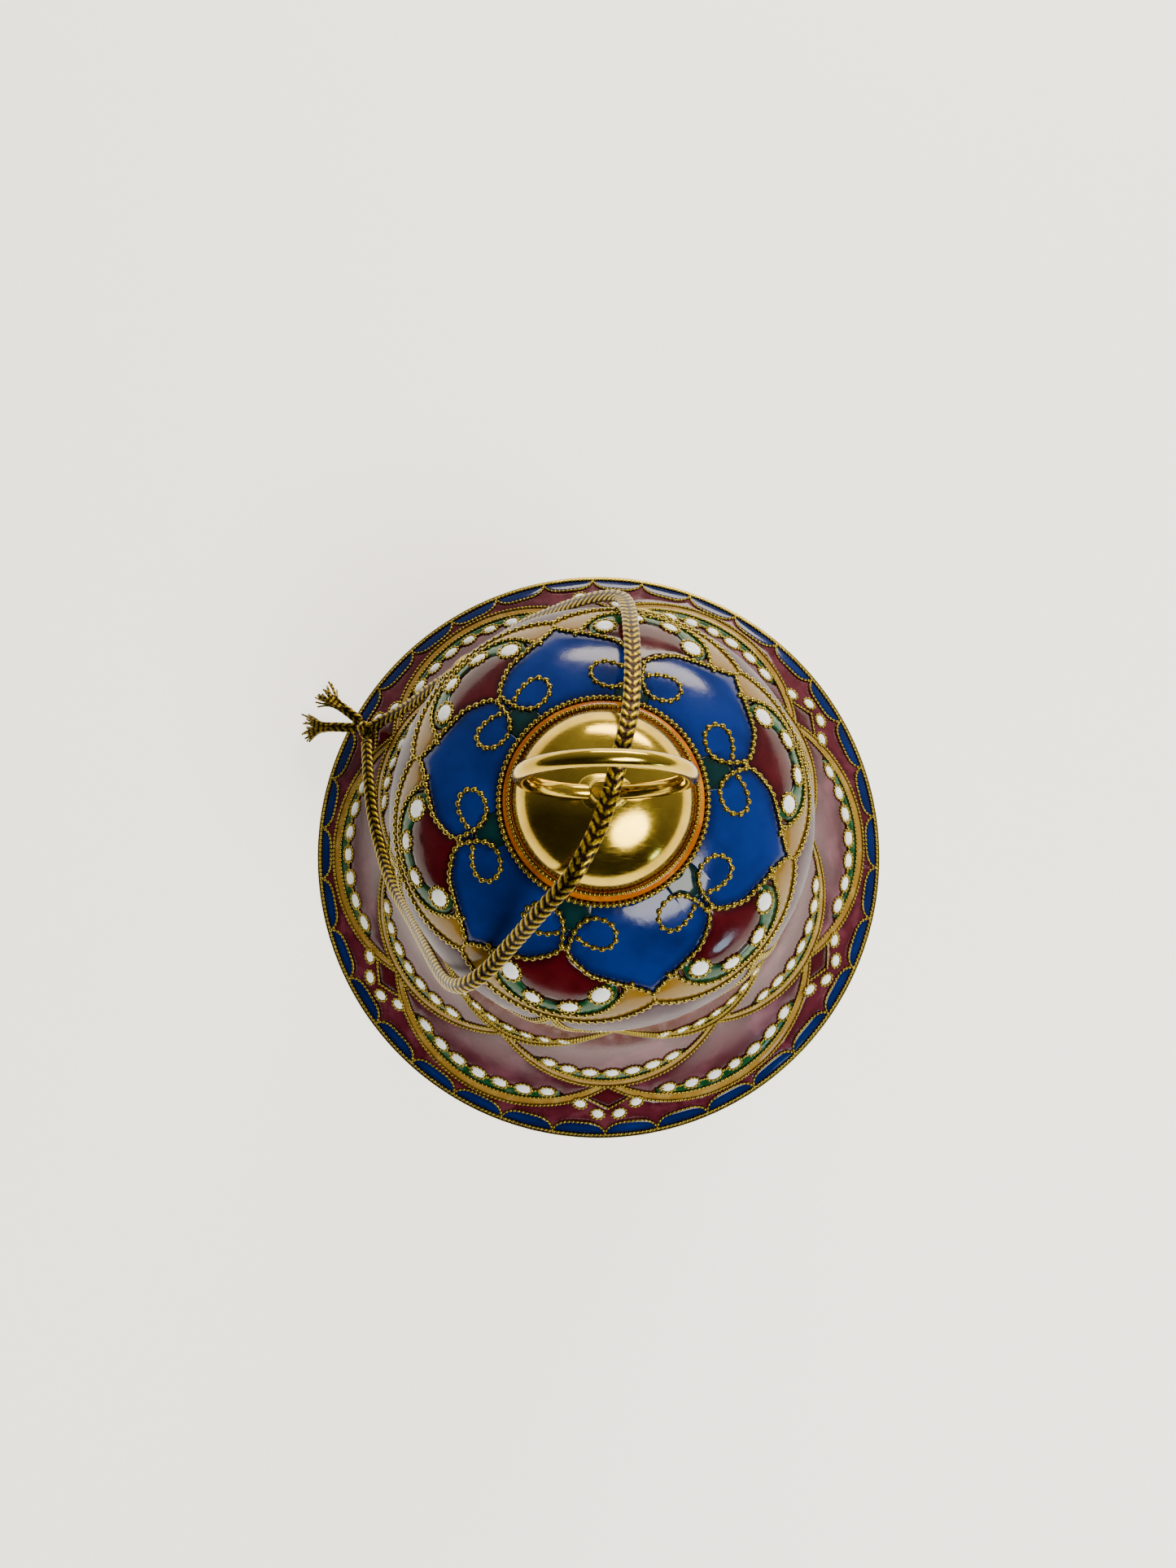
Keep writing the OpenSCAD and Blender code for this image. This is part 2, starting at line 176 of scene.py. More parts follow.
class Outline:
    """The bell's outline. Places on it are a length up from the rim and a turn, in mm and degrees."""

    def __init__(self, sizes):
        self.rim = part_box("rim_band")[1].x / MM
        self.waist = sizes.waist_radius / MM
        self.fall = sizes.flare_height / MM
        self.shoulder = sizes.shoulder_height / MM
        self.crown_h = sizes.crown_height / MM
        flare = self.rim - self.waist
        low_z = np.linspace(0, self.shoulder, 1500)
        low_r = self.waist + flare * np.exp(-low_z / self.fall)
        crown_r = low_r[-1]
        end = math.acos(sizes.collar_radius / MM / crown_r)
        turn = np.linspace(0, end, 900)[1:]
        self.r = np.concatenate([low_r, crown_r * np.cos(turn)])
        self.z = np.concatenate([low_z, self.shoulder + self.crown_h * np.sin(turn)])
        step = np.hypot(np.diff(self.r), np.diff(self.z))
        self.v = np.concatenate([[0], np.cumsum(step)])
        slope = flare / self.fall * np.exp(-low_z / self.fall)
        out_r = np.concatenate([np.ones_like(low_z), np.cos(turn) / crown_r])
        out_z = np.concatenate([slope, np.sin(turn) / self.crown_h])
        size = np.hypot(out_r, out_z)
        self.out_r, self.out_z = out_r / size, out_z / size
        self.top = self.v[-1]

    def at_height(self, z):
        """The length up from the rim at which the outline reaches a height."""
        return float(np.interp(z, self.z, self.v))

    def radius(self, v):
        return np.interp(v, self.v, self.r)

    def up(self, v, turn):
        """The outward direction at a place."""
        r, z = np.interp(v, self.v, self.out_r), np.interp(v, self.v, self.out_z)
        a = np.radians(turn)
        return np.stack([r * np.cos(a), r * np.sin(a), z], -1)

    def point(self, v, turn, rise=0.0):
        """The point at a place, raised above the enamel, in mm."""
        a = np.radians(turn)
        r, z = np.interp(v, self.v, self.r), np.interp(v, self.v, self.z)
        base = np.stack([r * np.cos(a), r * np.sin(a), z], -1)
        return base + self.up(v, turn) * np.asarray(rise)[..., None]

    def lathe_points(self, low, high, depth, count):
        """Points of the outline between two places, below the surface as the CAD's layers are."""
        v = np.linspace(low, high, count)
        r, z = np.interp(v, self.v, self.r), np.interp(v, self.v, self.z)
        out_r, out_z = np.interp(v, self.v, self.out_r), np.interp(v, self.v, self.out_z)
        flare = z < self.shoulder
        r = np.where(flare, r - depth / out_r, r - depth * out_r)
        z = np.where(flare, z, z - depth * out_z)
        return list(zip(r, z))


def smooth_line(points, fineness=8):
    """A smooth line through points, with places added between them."""
    p = np.array(points, float)
    ends = np.vstack([2 * p[0] - p[1], p, 2 * p[-1] - p[-2]])
    t = np.linspace(0, 1, fineness, endpoint=False)[:, None]
    line = []
    for a, b, c, d in zip(ends[:-3], ends[1:-2], ends[2:-1], ends[3:]):
        line.append(0.5 * (2 * b + (c - a) * t + (2 * a - 5 * b + 4 * c - d) * t ** 2
                           + (3 * b - a - 3 * c + d) * t ** 3))
    return np.vstack([*line, p[-1:]])


def along(points):
    """Height as a function of the turn, on a smooth line through given points."""
    line = smooth_line(points)
    return lambda turn: np.interp(np.abs(turn), line[:, 0], line[:, 1])


def arch(t, roundness=0.7):
    """The rise of a round scale's edge, from 0 in its middle to 1 where scales meet."""
    return (1 - np.sqrt(1 - (roundness * t) ** 2)) / (1 - math.sqrt(1 - roundness ** 2))


def off_centre(turn, centre):
    """Degrees from the middle of the nearest scale of a row."""
    return (np.asarray(turn) - centre + HALF) % SECTOR - HALF


class Row:
    """One row of scales: its edges, the band and crescent inside them, and its pearls."""

    def __init__(self, name, turn, low, high, field, band, chain, chain_rise, pearl):
        self.name, self.turn, self.low, self.high = name, turn, low, high
        self.field, self.band, self.chain, self.chain_rise = field, band, chain, chain_rise
        self.pearl = pearl

    def edge(self, turn):
        """The lower edge of the row's scales."""
        t = np.abs(off_centre(turn, self.turn)) / HALF
        return self.low + (self.high - self.low) * arch(t)

    def band_edge(self, turn):
        """Where the ochre band ends."""
        return self.edge(turn) + self.band

    def chain_line(self, turn):
        """The line that the pearls are strung on."""
        d = off_centre(turn, self.turn)
        return self.low + self.chain + self.chain_rise * (d / 16) ** 2


def rows_of_scales(outline):
    """The rows from the rim to the crown, on the same levels as the enamel's solids."""
    tops = {n: outline.at_height(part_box("enamel_" + n)[1].z / MM)
            for n in ("rim", "skirt_scales", "flare_scales", "lower_scales", "waist_scales",
                      "upper_scales")}
    # name, turn, low, high, field, band, chain, chain_rise, pearl
    return [
        Row("skirt", 2, tops["rim"], tops["skirt_scales"], "rose", 1.05, 2.3, 0.9, (1.75, 1.2)),
        Row("flare", 33, tops["skirt_scales"], tops["flare_scales"], "rose", 1.0, 2.2, 0.9, (1.65, 1.15)),
        Row("lower", 4, tops["flare_scales"], tops["lower_scales"], "rose", 0.9, 2.1, 1.2, (1.45, 1.05)),
        Row("waist", 25, tops["lower_scales"], tops["waist_scales"], "lilac", 0.8, 2.0, 1.5, (1.25, 0.95)),
        Row("upper", 46, tops["waist_scales"], tops["upper_scales"], "lilac", 0.8, 2.0, 1.3, (1.25, 0.95)),
        Row("crown", 15, tops["upper_scales"], tops["upper_scales"] + 2.3, "red", 0.6, 1.6, 2.0,
            (1.6, 1.5)),
    ]


# ---------------------------------------------------------------- meshes


Corner = collections.namedtuple("Corner", "x y z")


def corners(node):
    """A CAD node's lowest and highest corners, in mm."""
    return [Corner(*(value / MM for value in corner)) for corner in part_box(node)]


def piece(name, verts, faces, look, body="bell", slot=None, smooth=True, uv=None, facts=None,
          replaces=()):
    """A mesh object from points in mm, with its material, riding on its body."""
    mesh = bpy.data.meshes.new(name)
    mesh.from_pydata([tuple(p) for p in np.asarray(verts, float) * MM], [], faces)
    for key, values in (facts or {}).items():
        layer = mesh.attributes.new(key, "FLOAT", "POINT")
        layer.data.foreach_set("value", np.asarray(values, np.float32))
    if uv is not None:
        layer = mesh.uv_layers.new(name="cell")
        corner = np.zeros(len(mesh.loops), np.int32)
        mesh.loops.foreach_get("vertex_index", corner)
        layer.data.foreach_set("uv", np.asarray(uv, np.float32)[corner].ravel())
    mesh.validate()
    made = bpy.data.objects.new(name, mesh)
    return finished(made, look, body, slot, smooth, replaces)


def finished(made, look, body="bell", slot=None, smooth=True, replaces=()):
    """Links an object, gives it its material and makes it ride on its body."""
    bpy.context.scene.collection.objects.link(made)
    if look is not None:
        made.data.materials.append(look)
    made.data.polygons.foreach_set("use_smooth", [smooth] * len(made.data.polygons))
    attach(made, body)
    if replaces:
        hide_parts(*replaces)
    return made


class Parts:
    """Points and faces of one piece, gathered from several shapes."""

    def __init__(self):
        self.verts, self.faces, self.uv, self.edge = [], [], [], []
        self.count = 0

    def take(self, verts, faces, uv=None, edge=None):
        """Adds one shape."""
        base = self.count
        self.verts.append(np.asarray(verts, float))
        self.faces += [tuple(base + i for i in f) for f in faces]
        self.count += len(verts)
        if uv is not None:
            self.uv.append(uv)
            self.edge.append(edge)

    def build(self, name, look, **more):
        """The piece that the shapes make together."""
        if self.uv:
            more["uv"] = np.vstack(self.uv)
            more["facts"] = {"edge_mm": np.concatenate(self.edge)}
        return piece(name, np.vstack(self.verts), self.faces, look, **more)


def grid_faces(n, m, base, flip):
    """Quads of an (n + 1) by (m + 1) grid of points."""
    i, j = np.meshgrid(np.arange(n), np.arange(m), indexing="ij")
    a = base + (i * (m + 1) + j).ravel()
    quads = np.stack([a, a + m + 1, a + m + 2, a + 1], -1)
    return quads[:, ::-1].tolist() if flip else quads.tolist()


def cell(parts, outline, turns, low, high, steps, rise, depth=0.28, t=None, ends=True):
    """A closed piece of enamel between two lines, domed a little away from its edges."""
    gap = high - low
    keep = gap > 0.03
    if not keep.any():
        return
    runs = np.flatnonzero(np.diff(np.concatenate([[0], keep.astype(int), [0]])))
    for first, last in zip(runs[::2], runs[1::2]):
        if last - first < 2:
            continue
        s = slice(first, last)
        a, lo, hi = turns[s], low[s], high[s]
        n, m = len(a) - 1, steps
        across = np.linspace(0, 1, m + 1)
        v = lo[:, None] + (hi - lo)[:, None] * across
        turn = np.repeat(a[:, None], m + 1, 1)
        per_degree = outline.radius(v) * math.pi / 180
        side = np.minimum(np.abs(turn - a[0]), np.abs(a[-1] - turn)) * per_degree
        margin = np.minimum(v - lo[:, None], hi[:, None] - v)
        if ends:
            margin = np.minimum(margin, side)
        height = rise * (1 - np.exp(-margin / 0.45)) - rise / 2
        top = outline.point(v, turn, height).reshape(-1, 3)
        bottom = outline.point(v, turn, np.full(v.shape, -depth)).reshape(-1, 3)
        size = (n + 1) * (m + 1)
        faces = grid_faces(n, m, 0, False) + grid_faces(n, m, size, True)
        for i in range(n):
            p, q = i * (m + 1), (i + 1) * (m + 1)
            faces.append((p, p + size, q + size, q))
            faces.append((q + m, q + m + size, p + m + size, p + m))
        for j in range(m):
            faces.append((j + 1, j + 1 + size, j + size, j))
            p = n * (m + 1) + j
            faces.append((p, p + size, p + 1 + size, p + 1))
        local = np.abs(t[s]) if t is not None else np.linspace(0, 1, n + 1)
        uv = np.stack([np.repeat(local[:, None], m + 1, 1), np.repeat(across[None], n + 1, 0)], -1)
        uv = uv.reshape(-1, 2)
        inside = margin.ravel()
        parts.take(np.vstack([top, bottom]), faces, np.vstack([uv, uv]),
                   np.concatenate([inside, inside * 0]))


def lathe(profile, segments, closed=True):
    """Points and faces of a profile (radius, height) turned about Z, outward faces."""
    pr = np.array(profile, float)
    a = np.linspace(0, 2 * math.pi, segments, endpoint=False)
    on_axis = np.abs(pr[:, 0]) < 1e-6
    verts, index = [], []
    for (r, z), pole in zip(pr, on_axis):
        index.append((len(verts), pole))
        if pole:
            verts.append((0, 0, z))
        else:
            verts += [(r * math.cos(x), r * math.sin(x), z) for x in a]
    faces = []
    rings = list(range(len(pr)))
    pairs = zip(rings, rings[1:] + rings[:1]) if closed else zip(rings, rings[1:])
    for i, j in pairs:
        (p, p_pole), (q, q_pole) = index[i], index[j]
        for k in range(segments):
            m = (k + 1) % segments
            if p_pole and q_pole:
                continue
            if p_pole:
                faces.append((p, q + m, q + k))
            elif q_pole:
                faces.append((p + k, p + m, q))
            else:
                faces.append((p + k, p + m, q + m, q + k))
    return np.array(verts, float), faces


def rounded(profile, radius, steps=4, closed=True):
    """A profile with its corners rounded."""
    p = np.array(profile, float)
    n = len(p)
    out = []
    for i in range(n):
        if not closed and i in (0, n - 1):
            out.append(p[i])
            continue
        back, ahead = p[i - 1] - p[i], p[(i + 1) % n] - p[i]
        lb, la = np.linalg.norm(back), np.linalg.norm(ahead)
        r = min(radius, lb * 0.45, la * 0.45)
        start, end = p[i] + back / lb * r, p[i] + ahead / la * r
        for t in np.linspace(0, 1, steps + 1):
            out.append((1 - t) ** 2 * start + 2 * t * (1 - t) * p[i] + t ** 2 * end)
    return np.array(out)


def turned_ring(radius, wire, segments, sides, axis, centre, lean=0.0, pivot=(0, 0, 0)):
    """A wire ring about X or Y, leaned back about a pivot."""
    profile = [(radius + wire * math.cos(x), wire * math.sin(x))
               for x in np.linspace(0, 2 * math.pi, sides, endpoint=False)]
    verts, faces = lathe(profile, segments)
    turn = Matrix.Rotation(math.pi / 2, 3, "X" if axis == "Y" else "Y")
    verts = verts @ np.array(turn).T + np.array(centre)
    if lean:
        tilt = np.array(Matrix.Rotation(math.radians(lean), 3, "X"))
        verts = (verts - np.array(pivot)) @ tilt.T + np.array(pivot)
    return verts, faces


def outward(made):
    """Merges doubles and turns the faces outward."""
    bm = bmesh.new()
    bm.from_mesh(made.data)
    bmesh.ops.remove_doubles(bm, verts=bm.verts, dist=1e-7)
    bmesh.ops.recalc_face_normals(bm, faces=bm.faces)
    bm.to_mesh(made.data)
    bm.free()


def turned(name, profile, segments, look, slot, node, closed=True, edge=None, body="bell"):
    """A piece turned from its profile, with its faces outward."""
    verts, faces = lathe(profile, segments, closed)
    facts = {"edge_mm": np.full(len(verts), edge)} if edge else None
    outward(piece(name, verts, faces, look, body, slot, facts=facts, replaces=(node,)))


# ---------------------------------------------------------------- repeated wire and pearls


def group_input(tree, name, kind, default=None):
    """A named input of a node tree."""
    socket = tree.interface.new_socket(name, in_out="INPUT", socket_type=kind)
    if default is not None:
        socket.default_value = default


def face_the_surface(tree, tangent):
    """A rotation whose Z follows the stored outward direction and whose X follows a direction."""
    up = add(tree, "GeometryNodeInputNamedAttribute", {"Name": "up"}, data_type="FLOAT_VECTOR")
    first = add(tree, "FunctionNodeAlignRotationToVector",
                {"Vector": up.outputs["Attribute"]}, axis="Z")
    return add(tree, "FunctionNodeAlignRotationToVector",
               {"Rotation": first.outputs[0], "Vector": tangent}, axis="X", pivot_axis="Z")


def end_tree(tree, shape, look):
    """Ends a tree with smooth faces and the material given to it."""
    soft = add(tree, "GeometryNodeSetShadeSmooth", {"Geometry": shape})
    coated = add(tree, "GeometryNodeSetMaterial", {"Geometry": soft.outputs[0], "Material": look})
    add(tree, "NodeGroupOutput", {0: coated.outputs[0]})


def twisted_wire_tree():
    """Slanted beads along a line, over a thin core: a flattened two-strand twist."""
    tree = bpy.data.node_groups.new("twisted_wire", "GeometryNodeTree")
    group_input(tree, "Line", "NodeSocketGeometry")
    for name, value in (("Pitch", 0.46 * MM), ("Width", 0.4 * MM)):
        group_input(tree, name, "NodeSocketFloat", value)
    group_input(tree, "Material", "NodeSocketMaterial")
    tree.interface.new_socket("Wire", in_out="OUTPUT", socket_type="NodeSocketGeometry")
    given = add(tree, "NodeGroupInput")
    pitch, width = given.outputs["Pitch"], given.outputs["Width"]
    line = add(tree, "GeometryNodeMeshToCurve", {"Mesh": given.outputs["Line"]})
    even = add(tree, "GeometryNodeResampleCurve",
               {"Curve": line.outputs[0], "Length": pitch}, mode="LENGTH")
    tangent = add(tree, "GeometryNodeInputTangent")
    facing = face_the_surface(tree, tangent.outputs[0])
    half = add(tree, "ShaderNodeMath", {0: width, 1: 0.5}, operation="MULTIPLY")
    longer = add(tree, "ShaderNodeMath", {0: pitch, 1: 0.46}, operation="MULTIPLY")
    size = add(tree, "ShaderNodeCombineXYZ",
               {"X": longer.outputs[0], "Y": half.outputs[0], "Z": half.outputs[0]})
    ball = add(tree, "GeometryNodeMeshUVSphere", {"Segments": 8, "Rings": 6, "Radius": 1.0})
    bead = add(tree, "GeometryNodeTransform",
               {"Geometry": ball.outputs["Mesh"], "Rotation": (0, 0, math.radians(24)),
                "Scale": size.outputs[0]})
    beads = add(tree, "GeometryNodeInstanceOnPoints",
                {"Points": even.outputs[0], "Instance": bead.outputs[0], "Rotation": facing.outputs[0]})
    real = add(tree, "GeometryNodeRealizeInstances", {"Geometry": beads.outputs[0]})
    core_size = add(tree, "ShaderNodeMath", {0: width, 1: 0.24}, operation="MULTIPLY")
    ring = add(tree, "GeometryNodeCurvePrimitiveCircle",
               {"Resolution": 5, "Radius": core_size.outputs[0]})
    core = add(tree, "GeometryNodeCurveToMesh",
               {"Curve": even.outputs[0], "Profile Curve": ring.outputs[0], "Fill Caps": True})
    both = add(tree, "GeometryNodeJoinGeometry", {0: real.outputs[0]})
    tree.links.new(core.outputs[0], both.inputs[0])
    end_tree(tree, both.outputs[0], given.outputs["Material"])
    return tree


def pearl_tree():
    """A shallow domed pearl on every point, to its own size and turn."""
    tree = bpy.data.node_groups.new("pearls", "GeometryNodeTree")
    group_input(tree, "Places", "NodeSocketGeometry")
    group_input(tree, "Segments", "NodeSocketInt", 20)
    group_input(tree, "Material", "NodeSocketMaterial")
    tree.interface.new_socket("Pearls", in_out="OUTPUT", socket_type="NodeSocketGeometry")
    given = add(tree, "NodeGroupInput")
    level = add(tree, "GeometryNodeInputNamedAttribute", {"Name": "level"}, data_type="FLOAT_VECTOR")
    size = add(tree, "GeometryNodeInputNamedAttribute", {"Name": "size"}, data_type="FLOAT_VECTOR")
    facing = face_the_surface(tree, level.outputs["Attribute"])
    ball = add(tree, "GeometryNodeMeshUVSphere",
               {"Segments": given.outputs["Segments"], "Rings": 8, "Radius": 0.5})
    placed = add(tree, "GeometryNodeInstanceOnPoints",
                 {"Points": given.outputs["Places"], "Instance": ball.outputs["Mesh"],
                  "Rotation": facing.outputs[0], "Scale": size.outputs["Attribute"]})
    real = add(tree, "GeometryNodeRealizeInstances", {"Geometry": placed.outputs[0]})
    end_tree(tree, real.outputs[0], given.outputs["Material"])
    return tree


def grown(name, points, edges, vectors, tree, values, look, slot, replaces=()):
    """A piece that a node tree grows from points or lines, turned into a plain mesh."""
    seed = bpy.data.meshes.new(name + "_line")
    seed.from_pydata([tuple(p) for p in np.asarray(points, float) * MM], edges, [])
    for key, value in vectors.items():
        layer = seed.attributes.new(key, "FLOAT_VECTOR", "POINT")
        layer.data.foreach_set("vector", np.asarray(value, np.float32).ravel())
    holder = bpy.data.objects.new(name + "_seed", seed)
    bpy.context.scene.collection.objects.link(holder)
    maker = holder.modifiers.new(tree.name, "NODES")
    maker.node_group = tree
    sockets = {s.name: s.identifier for s in tree.interface.items_tree
               if s.item_type == "SOCKET" and s.in_out == "INPUT"}
    for key, value in {**values, "Material": look}.items():
        maker[sockets[key]] = value
    holder.update_tag()
    graph = bpy.context.evaluated_depsgraph_get()
    mesh = bpy.data.meshes.new_from_object(holder.evaluated_get(graph))
    mesh.name = name
    for key in [a.name for a in mesh.attributes if a.name in ("up", "level", "size")]:
        mesh.attributes.remove(mesh.attributes[key])
    bpy.data.objects.remove(holder)
    bpy.data.meshes.remove(seed)
    return finished(bpy.data.objects.new(name, mesh), None, slot=slot, replaces=replaces)


class Lines:
    """Lines on the bell for one piece of twisted wire."""

    def __init__(self, outline, rise=0.04):
        # rise: how far the wire's middle stands above the enamel, in mm
        self.outline, self.rise = outline, rise
        self.points, self.ups, self.edges = [], [], []
        self.count = 0

    def take(self, turn, v, closed=False):
        """Adds a line through places."""
        turn, v = np.asarray(turn, float), np.asarray(v, float)
        n, base = len(v), self.count
        self.points.append(self.outline.point(v, turn, np.full(v.shape, self.rise)))
        self.ups.append(self.outline.up(v, turn))
        self.edges += [(base + i, base + i + 1) for i in range(n - 1)]
        if closed:
            self.edges.append((base + n - 1, base))
        self.count += n

    def build(self, name, tree, pitch, width, replaces=()):
        """The wire that follows the lines."""
        return grown(name, np.vstack(self.points), self.edges, {"up": np.vstack(self.ups)}, tree,
                     {"Pitch": pitch, "Width": width}, material("gilt"), "gilt_wire", replaces)


# ---------------------------------------------------------------- materials


def new_material(name):
    """A material with an empty node tree, and the tree."""
    made = bpy.data.materials.new(name)
    made.use_nodes = True
    made.node_tree.nodes.clear()
    return made, made.node_tree


def close(tree, base, rough, normal, **shader):
    """The surface shader and the output, with plain values on the shader's own sockets."""
    inputs = {"Base Color": base, "Roughness": rough, "Normal": normal, **shader}
    surface = add(tree, "ShaderNodeBsdfPrincipled", inputs)
    add(tree, "ShaderNodeOutputMaterial", {"Surface": surface.outputs[0]})


def enamel(name, middle, side, cloud=None, cloud_mm=2.5, end=None, gloss=(0.07, 0.2), far=1.1):
    """Vitreous enamel, ground flat and flame-glazed: glassy, cloudy inside, darker by the wires, partly
    from pooled glass and partly as painted shade.
    """
    made, tree = new_material(name)
    where = add(tree, "ShaderNodeTexCoord").outputs["Object"]
    # Glass thins towards the middle of a cell and pools against the wires; the colour runs darker by the
    # wires, partly for that pooling and partly as painted shade cast by the raised wires
    margin = add(tree, "ShaderNodeAttribute", attribute_name="edge_mm").outputs["Fac"]
    drift = add(tree, "ShaderNodeTexNoise",
                {"Vector": where, "Scale": 1000 / cloud_mm, "Detail": 3.0, "Roughness": 0.55}).outputs[0]
    inner = add(tree, "ShaderNodeMapRange", {"Value": margin, "From Max": far}).outputs[0]
    shaken = add(tree, "ShaderNodeMath", {0: drift, 1: 0.9}, operation="MULTIPLY").outputs[0]
    amount = add(tree, "ShaderNodeMath", {0: inner, 1: shaken}, operation="MULTIPLY").outputs[0]
    pulled = add(tree, "ShaderNodeMath", {0: amount, 1: 1.9}, operation="MULTIPLY",
                 use_clamp=True).outputs[0]
    colour = add(tree, "ShaderNodeMix", {0: pulled, 6: linear(side), 7: linear(middle)},
                 data_type="RGBA").outputs[2]
    if cloud:
        mist = add(tree, "ShaderNodeTexNoise",
                   {"Vector": where, "Scale": 1250 / cloud_mm, "Roughness": 0.6}).outputs[0]
        thick = add(tree, "ShaderNodeMapRange",
                    {"Value": mist, "From Min": 0.5, "From Max": 0.68, "To Max": 0.8}).outputs[0]
        colour = add(tree, "ShaderNodeMix", {0: thick, 6: colour, 7: linear(cloud)},
                     data_type="RGBA").outputs[2]
    if end:
        cell_map = add(tree, "ShaderNodeUVMap", uv_map="cell").outputs[0]
        split = add(tree, "ShaderNodeSeparateXYZ", {"Vector": cell_map}).outputs["X"]
        tip = add(tree, "ShaderNodeMapRange",
                  {"Value": split, "From Min": 0.6, "From Max": 0.85, "To Max": 0.9}).outputs[0]
        colour = add(tree, "ShaderNodeMix", {0: tip, 6: colour, 7: linear(end)},
                     data_type="RGBA").outputs[2]
    # Dark pinholes of burst bubbles, half a millimetre apart
    specks = add(tree, "ShaderNodeTexVoronoi", {"Vector": where, "Scale": 1000 / 0.5}).outputs["Distance"]
    pit = add(tree, "ShaderNodeMapRange",
              {"Value": specks, "From Min": 0.03, "From Max": 0.09, "To Min": 0.55}).outputs[0]
    colour = add(tree, "ShaderNodeMix", {0: 1.0, 6: colour, 7: pit},
                 data_type="RGBA", blend_type="MULTIPLY").outputs[2]
    rough = add(tree, "ShaderNodeMapRange", {"Value": drift, "From Min": 0.3, "From Max": 0.7,
                                             "To Min": gloss[0], "To Max": gloss[1]}).outputs[0]
    # A faint orange peel, as fired glass keeps
    skin = add(tree, "ShaderNodeTexNoise", {"Vector": where, "Scale": 1000 / 0.9}).outputs[0]
    bump = add(tree, "ShaderNodeBump", {"Height": skin, "Strength": 0.35, "Distance": 0.03 * MM})
    close(tree, colour, rough, bump.outputs[0], IOR=1.5, **{"Specular IOR Level": 0.3})
    return made


def metal(name, colour, dark, rough=(0.16, 0.34), patch_mm=3.0, scratch=0.3, bump_mm=0.01, shade=0.8):
    """Metal with a thin tarnish in patches, fine scratches and a slightly uneven polish."""
    made, tree = new_material(name)
    where = add(tree, "ShaderNodeTexCoord").outputs["Object"]
    patch = add(tree, "ShaderNodeTexNoise",
                {"Vector": where, "Scale": 1000 / patch_mm, "Detail": 4.0, "Roughness": 0.6}).outputs[0]
    worn = add(tree, "ShaderNodeMapRange",
               {"Value": patch, "From Min": 0.42, "From Max": 0.78, "To Max": shade}).outputs[0]
    base = add(tree, "ShaderNodeMix", {0: worn, 6: linear(colour), 7: linear(dark)},
               data_type="RGBA").outputs[2]
    # Scratches run round the piece, drawn coarser than real ones so that they show
    drawn = add(tree, "ShaderNodeMapping", {"Vector": where, "Scale": (1.0, 14.0, 4.0)}).outputs[0]
    lines = add(tree, "ShaderNodeTexNoise",
                {"Vector": drawn, "Scale": 1000 / 1.2, "Detail": 3.0, "Roughness": 0.7}).outputs[0]
    dull = add(tree, "ShaderNodeMapRange", {"Value": lines, "From Min": 0.35, "From Max": 0.75,
                                            "To Min": rough[0], "To Max": rough[1]}).outputs[0]
    bump = add(tree, "ShaderNodeBump",
               {"Height": lines, "Strength": scratch, "Distance": bump_mm * MM})
    close(tree, base, dull, bump.outputs[0], Metallic=1.0)
    return made


def braid_material(name, colour, dark):
    """Metallised film yarns in a flat braid: bright on the ridges, with painted shade dark brown in the
    grooves between them.
    """
    made, tree = new_material(name)
    ridge = add(tree, "ShaderNodeAttribute", attribute_name="ridge").outputs["Fac"]
    where = add(tree, "ShaderNodeTexCoord").outputs["Object"]
    # Single films, about a fifth of a millimetre wide, catch the light one by one
    glint = add(tree, "ShaderNodeTexNoise",
                {"Vector": where, "Scale": 1000 / 0.22, "Roughness": 0.7}).outputs[0]
    # The colour runs dark brown in the grooves as painted shade, and bright where the films catch the light
    # as painted glints
    level = add(tree, "ShaderNodeMath", {0: ridge, 1: glint}, operation="MULTIPLY").outputs[0]
    amount = add(tree, "ShaderNodeMapRange", {"Value": level, "From Min": 0.2, "From Max": 0.48}).outputs[0]
    base = add(tree, "ShaderNodeMix", {0: amount, 6: linear(dark), 7: linear(colour)},
               data_type="RGBA").outputs[2]
    dull = add(tree, "ShaderNodeMapRange", {"Value": glint, "From Min": 0.3, "From Max": 0.7,
                                            "To Min": 0.2, "To Max": 0.5}).outputs[0]
    bump = add(tree, "ShaderNodeBump", {"Height": glint, "Strength": 0.5, "Distance": 0.03 * MM})
    close(tree, base, dull, bump.outputs[0], Metallic=0.85)
    return made


_made = {}


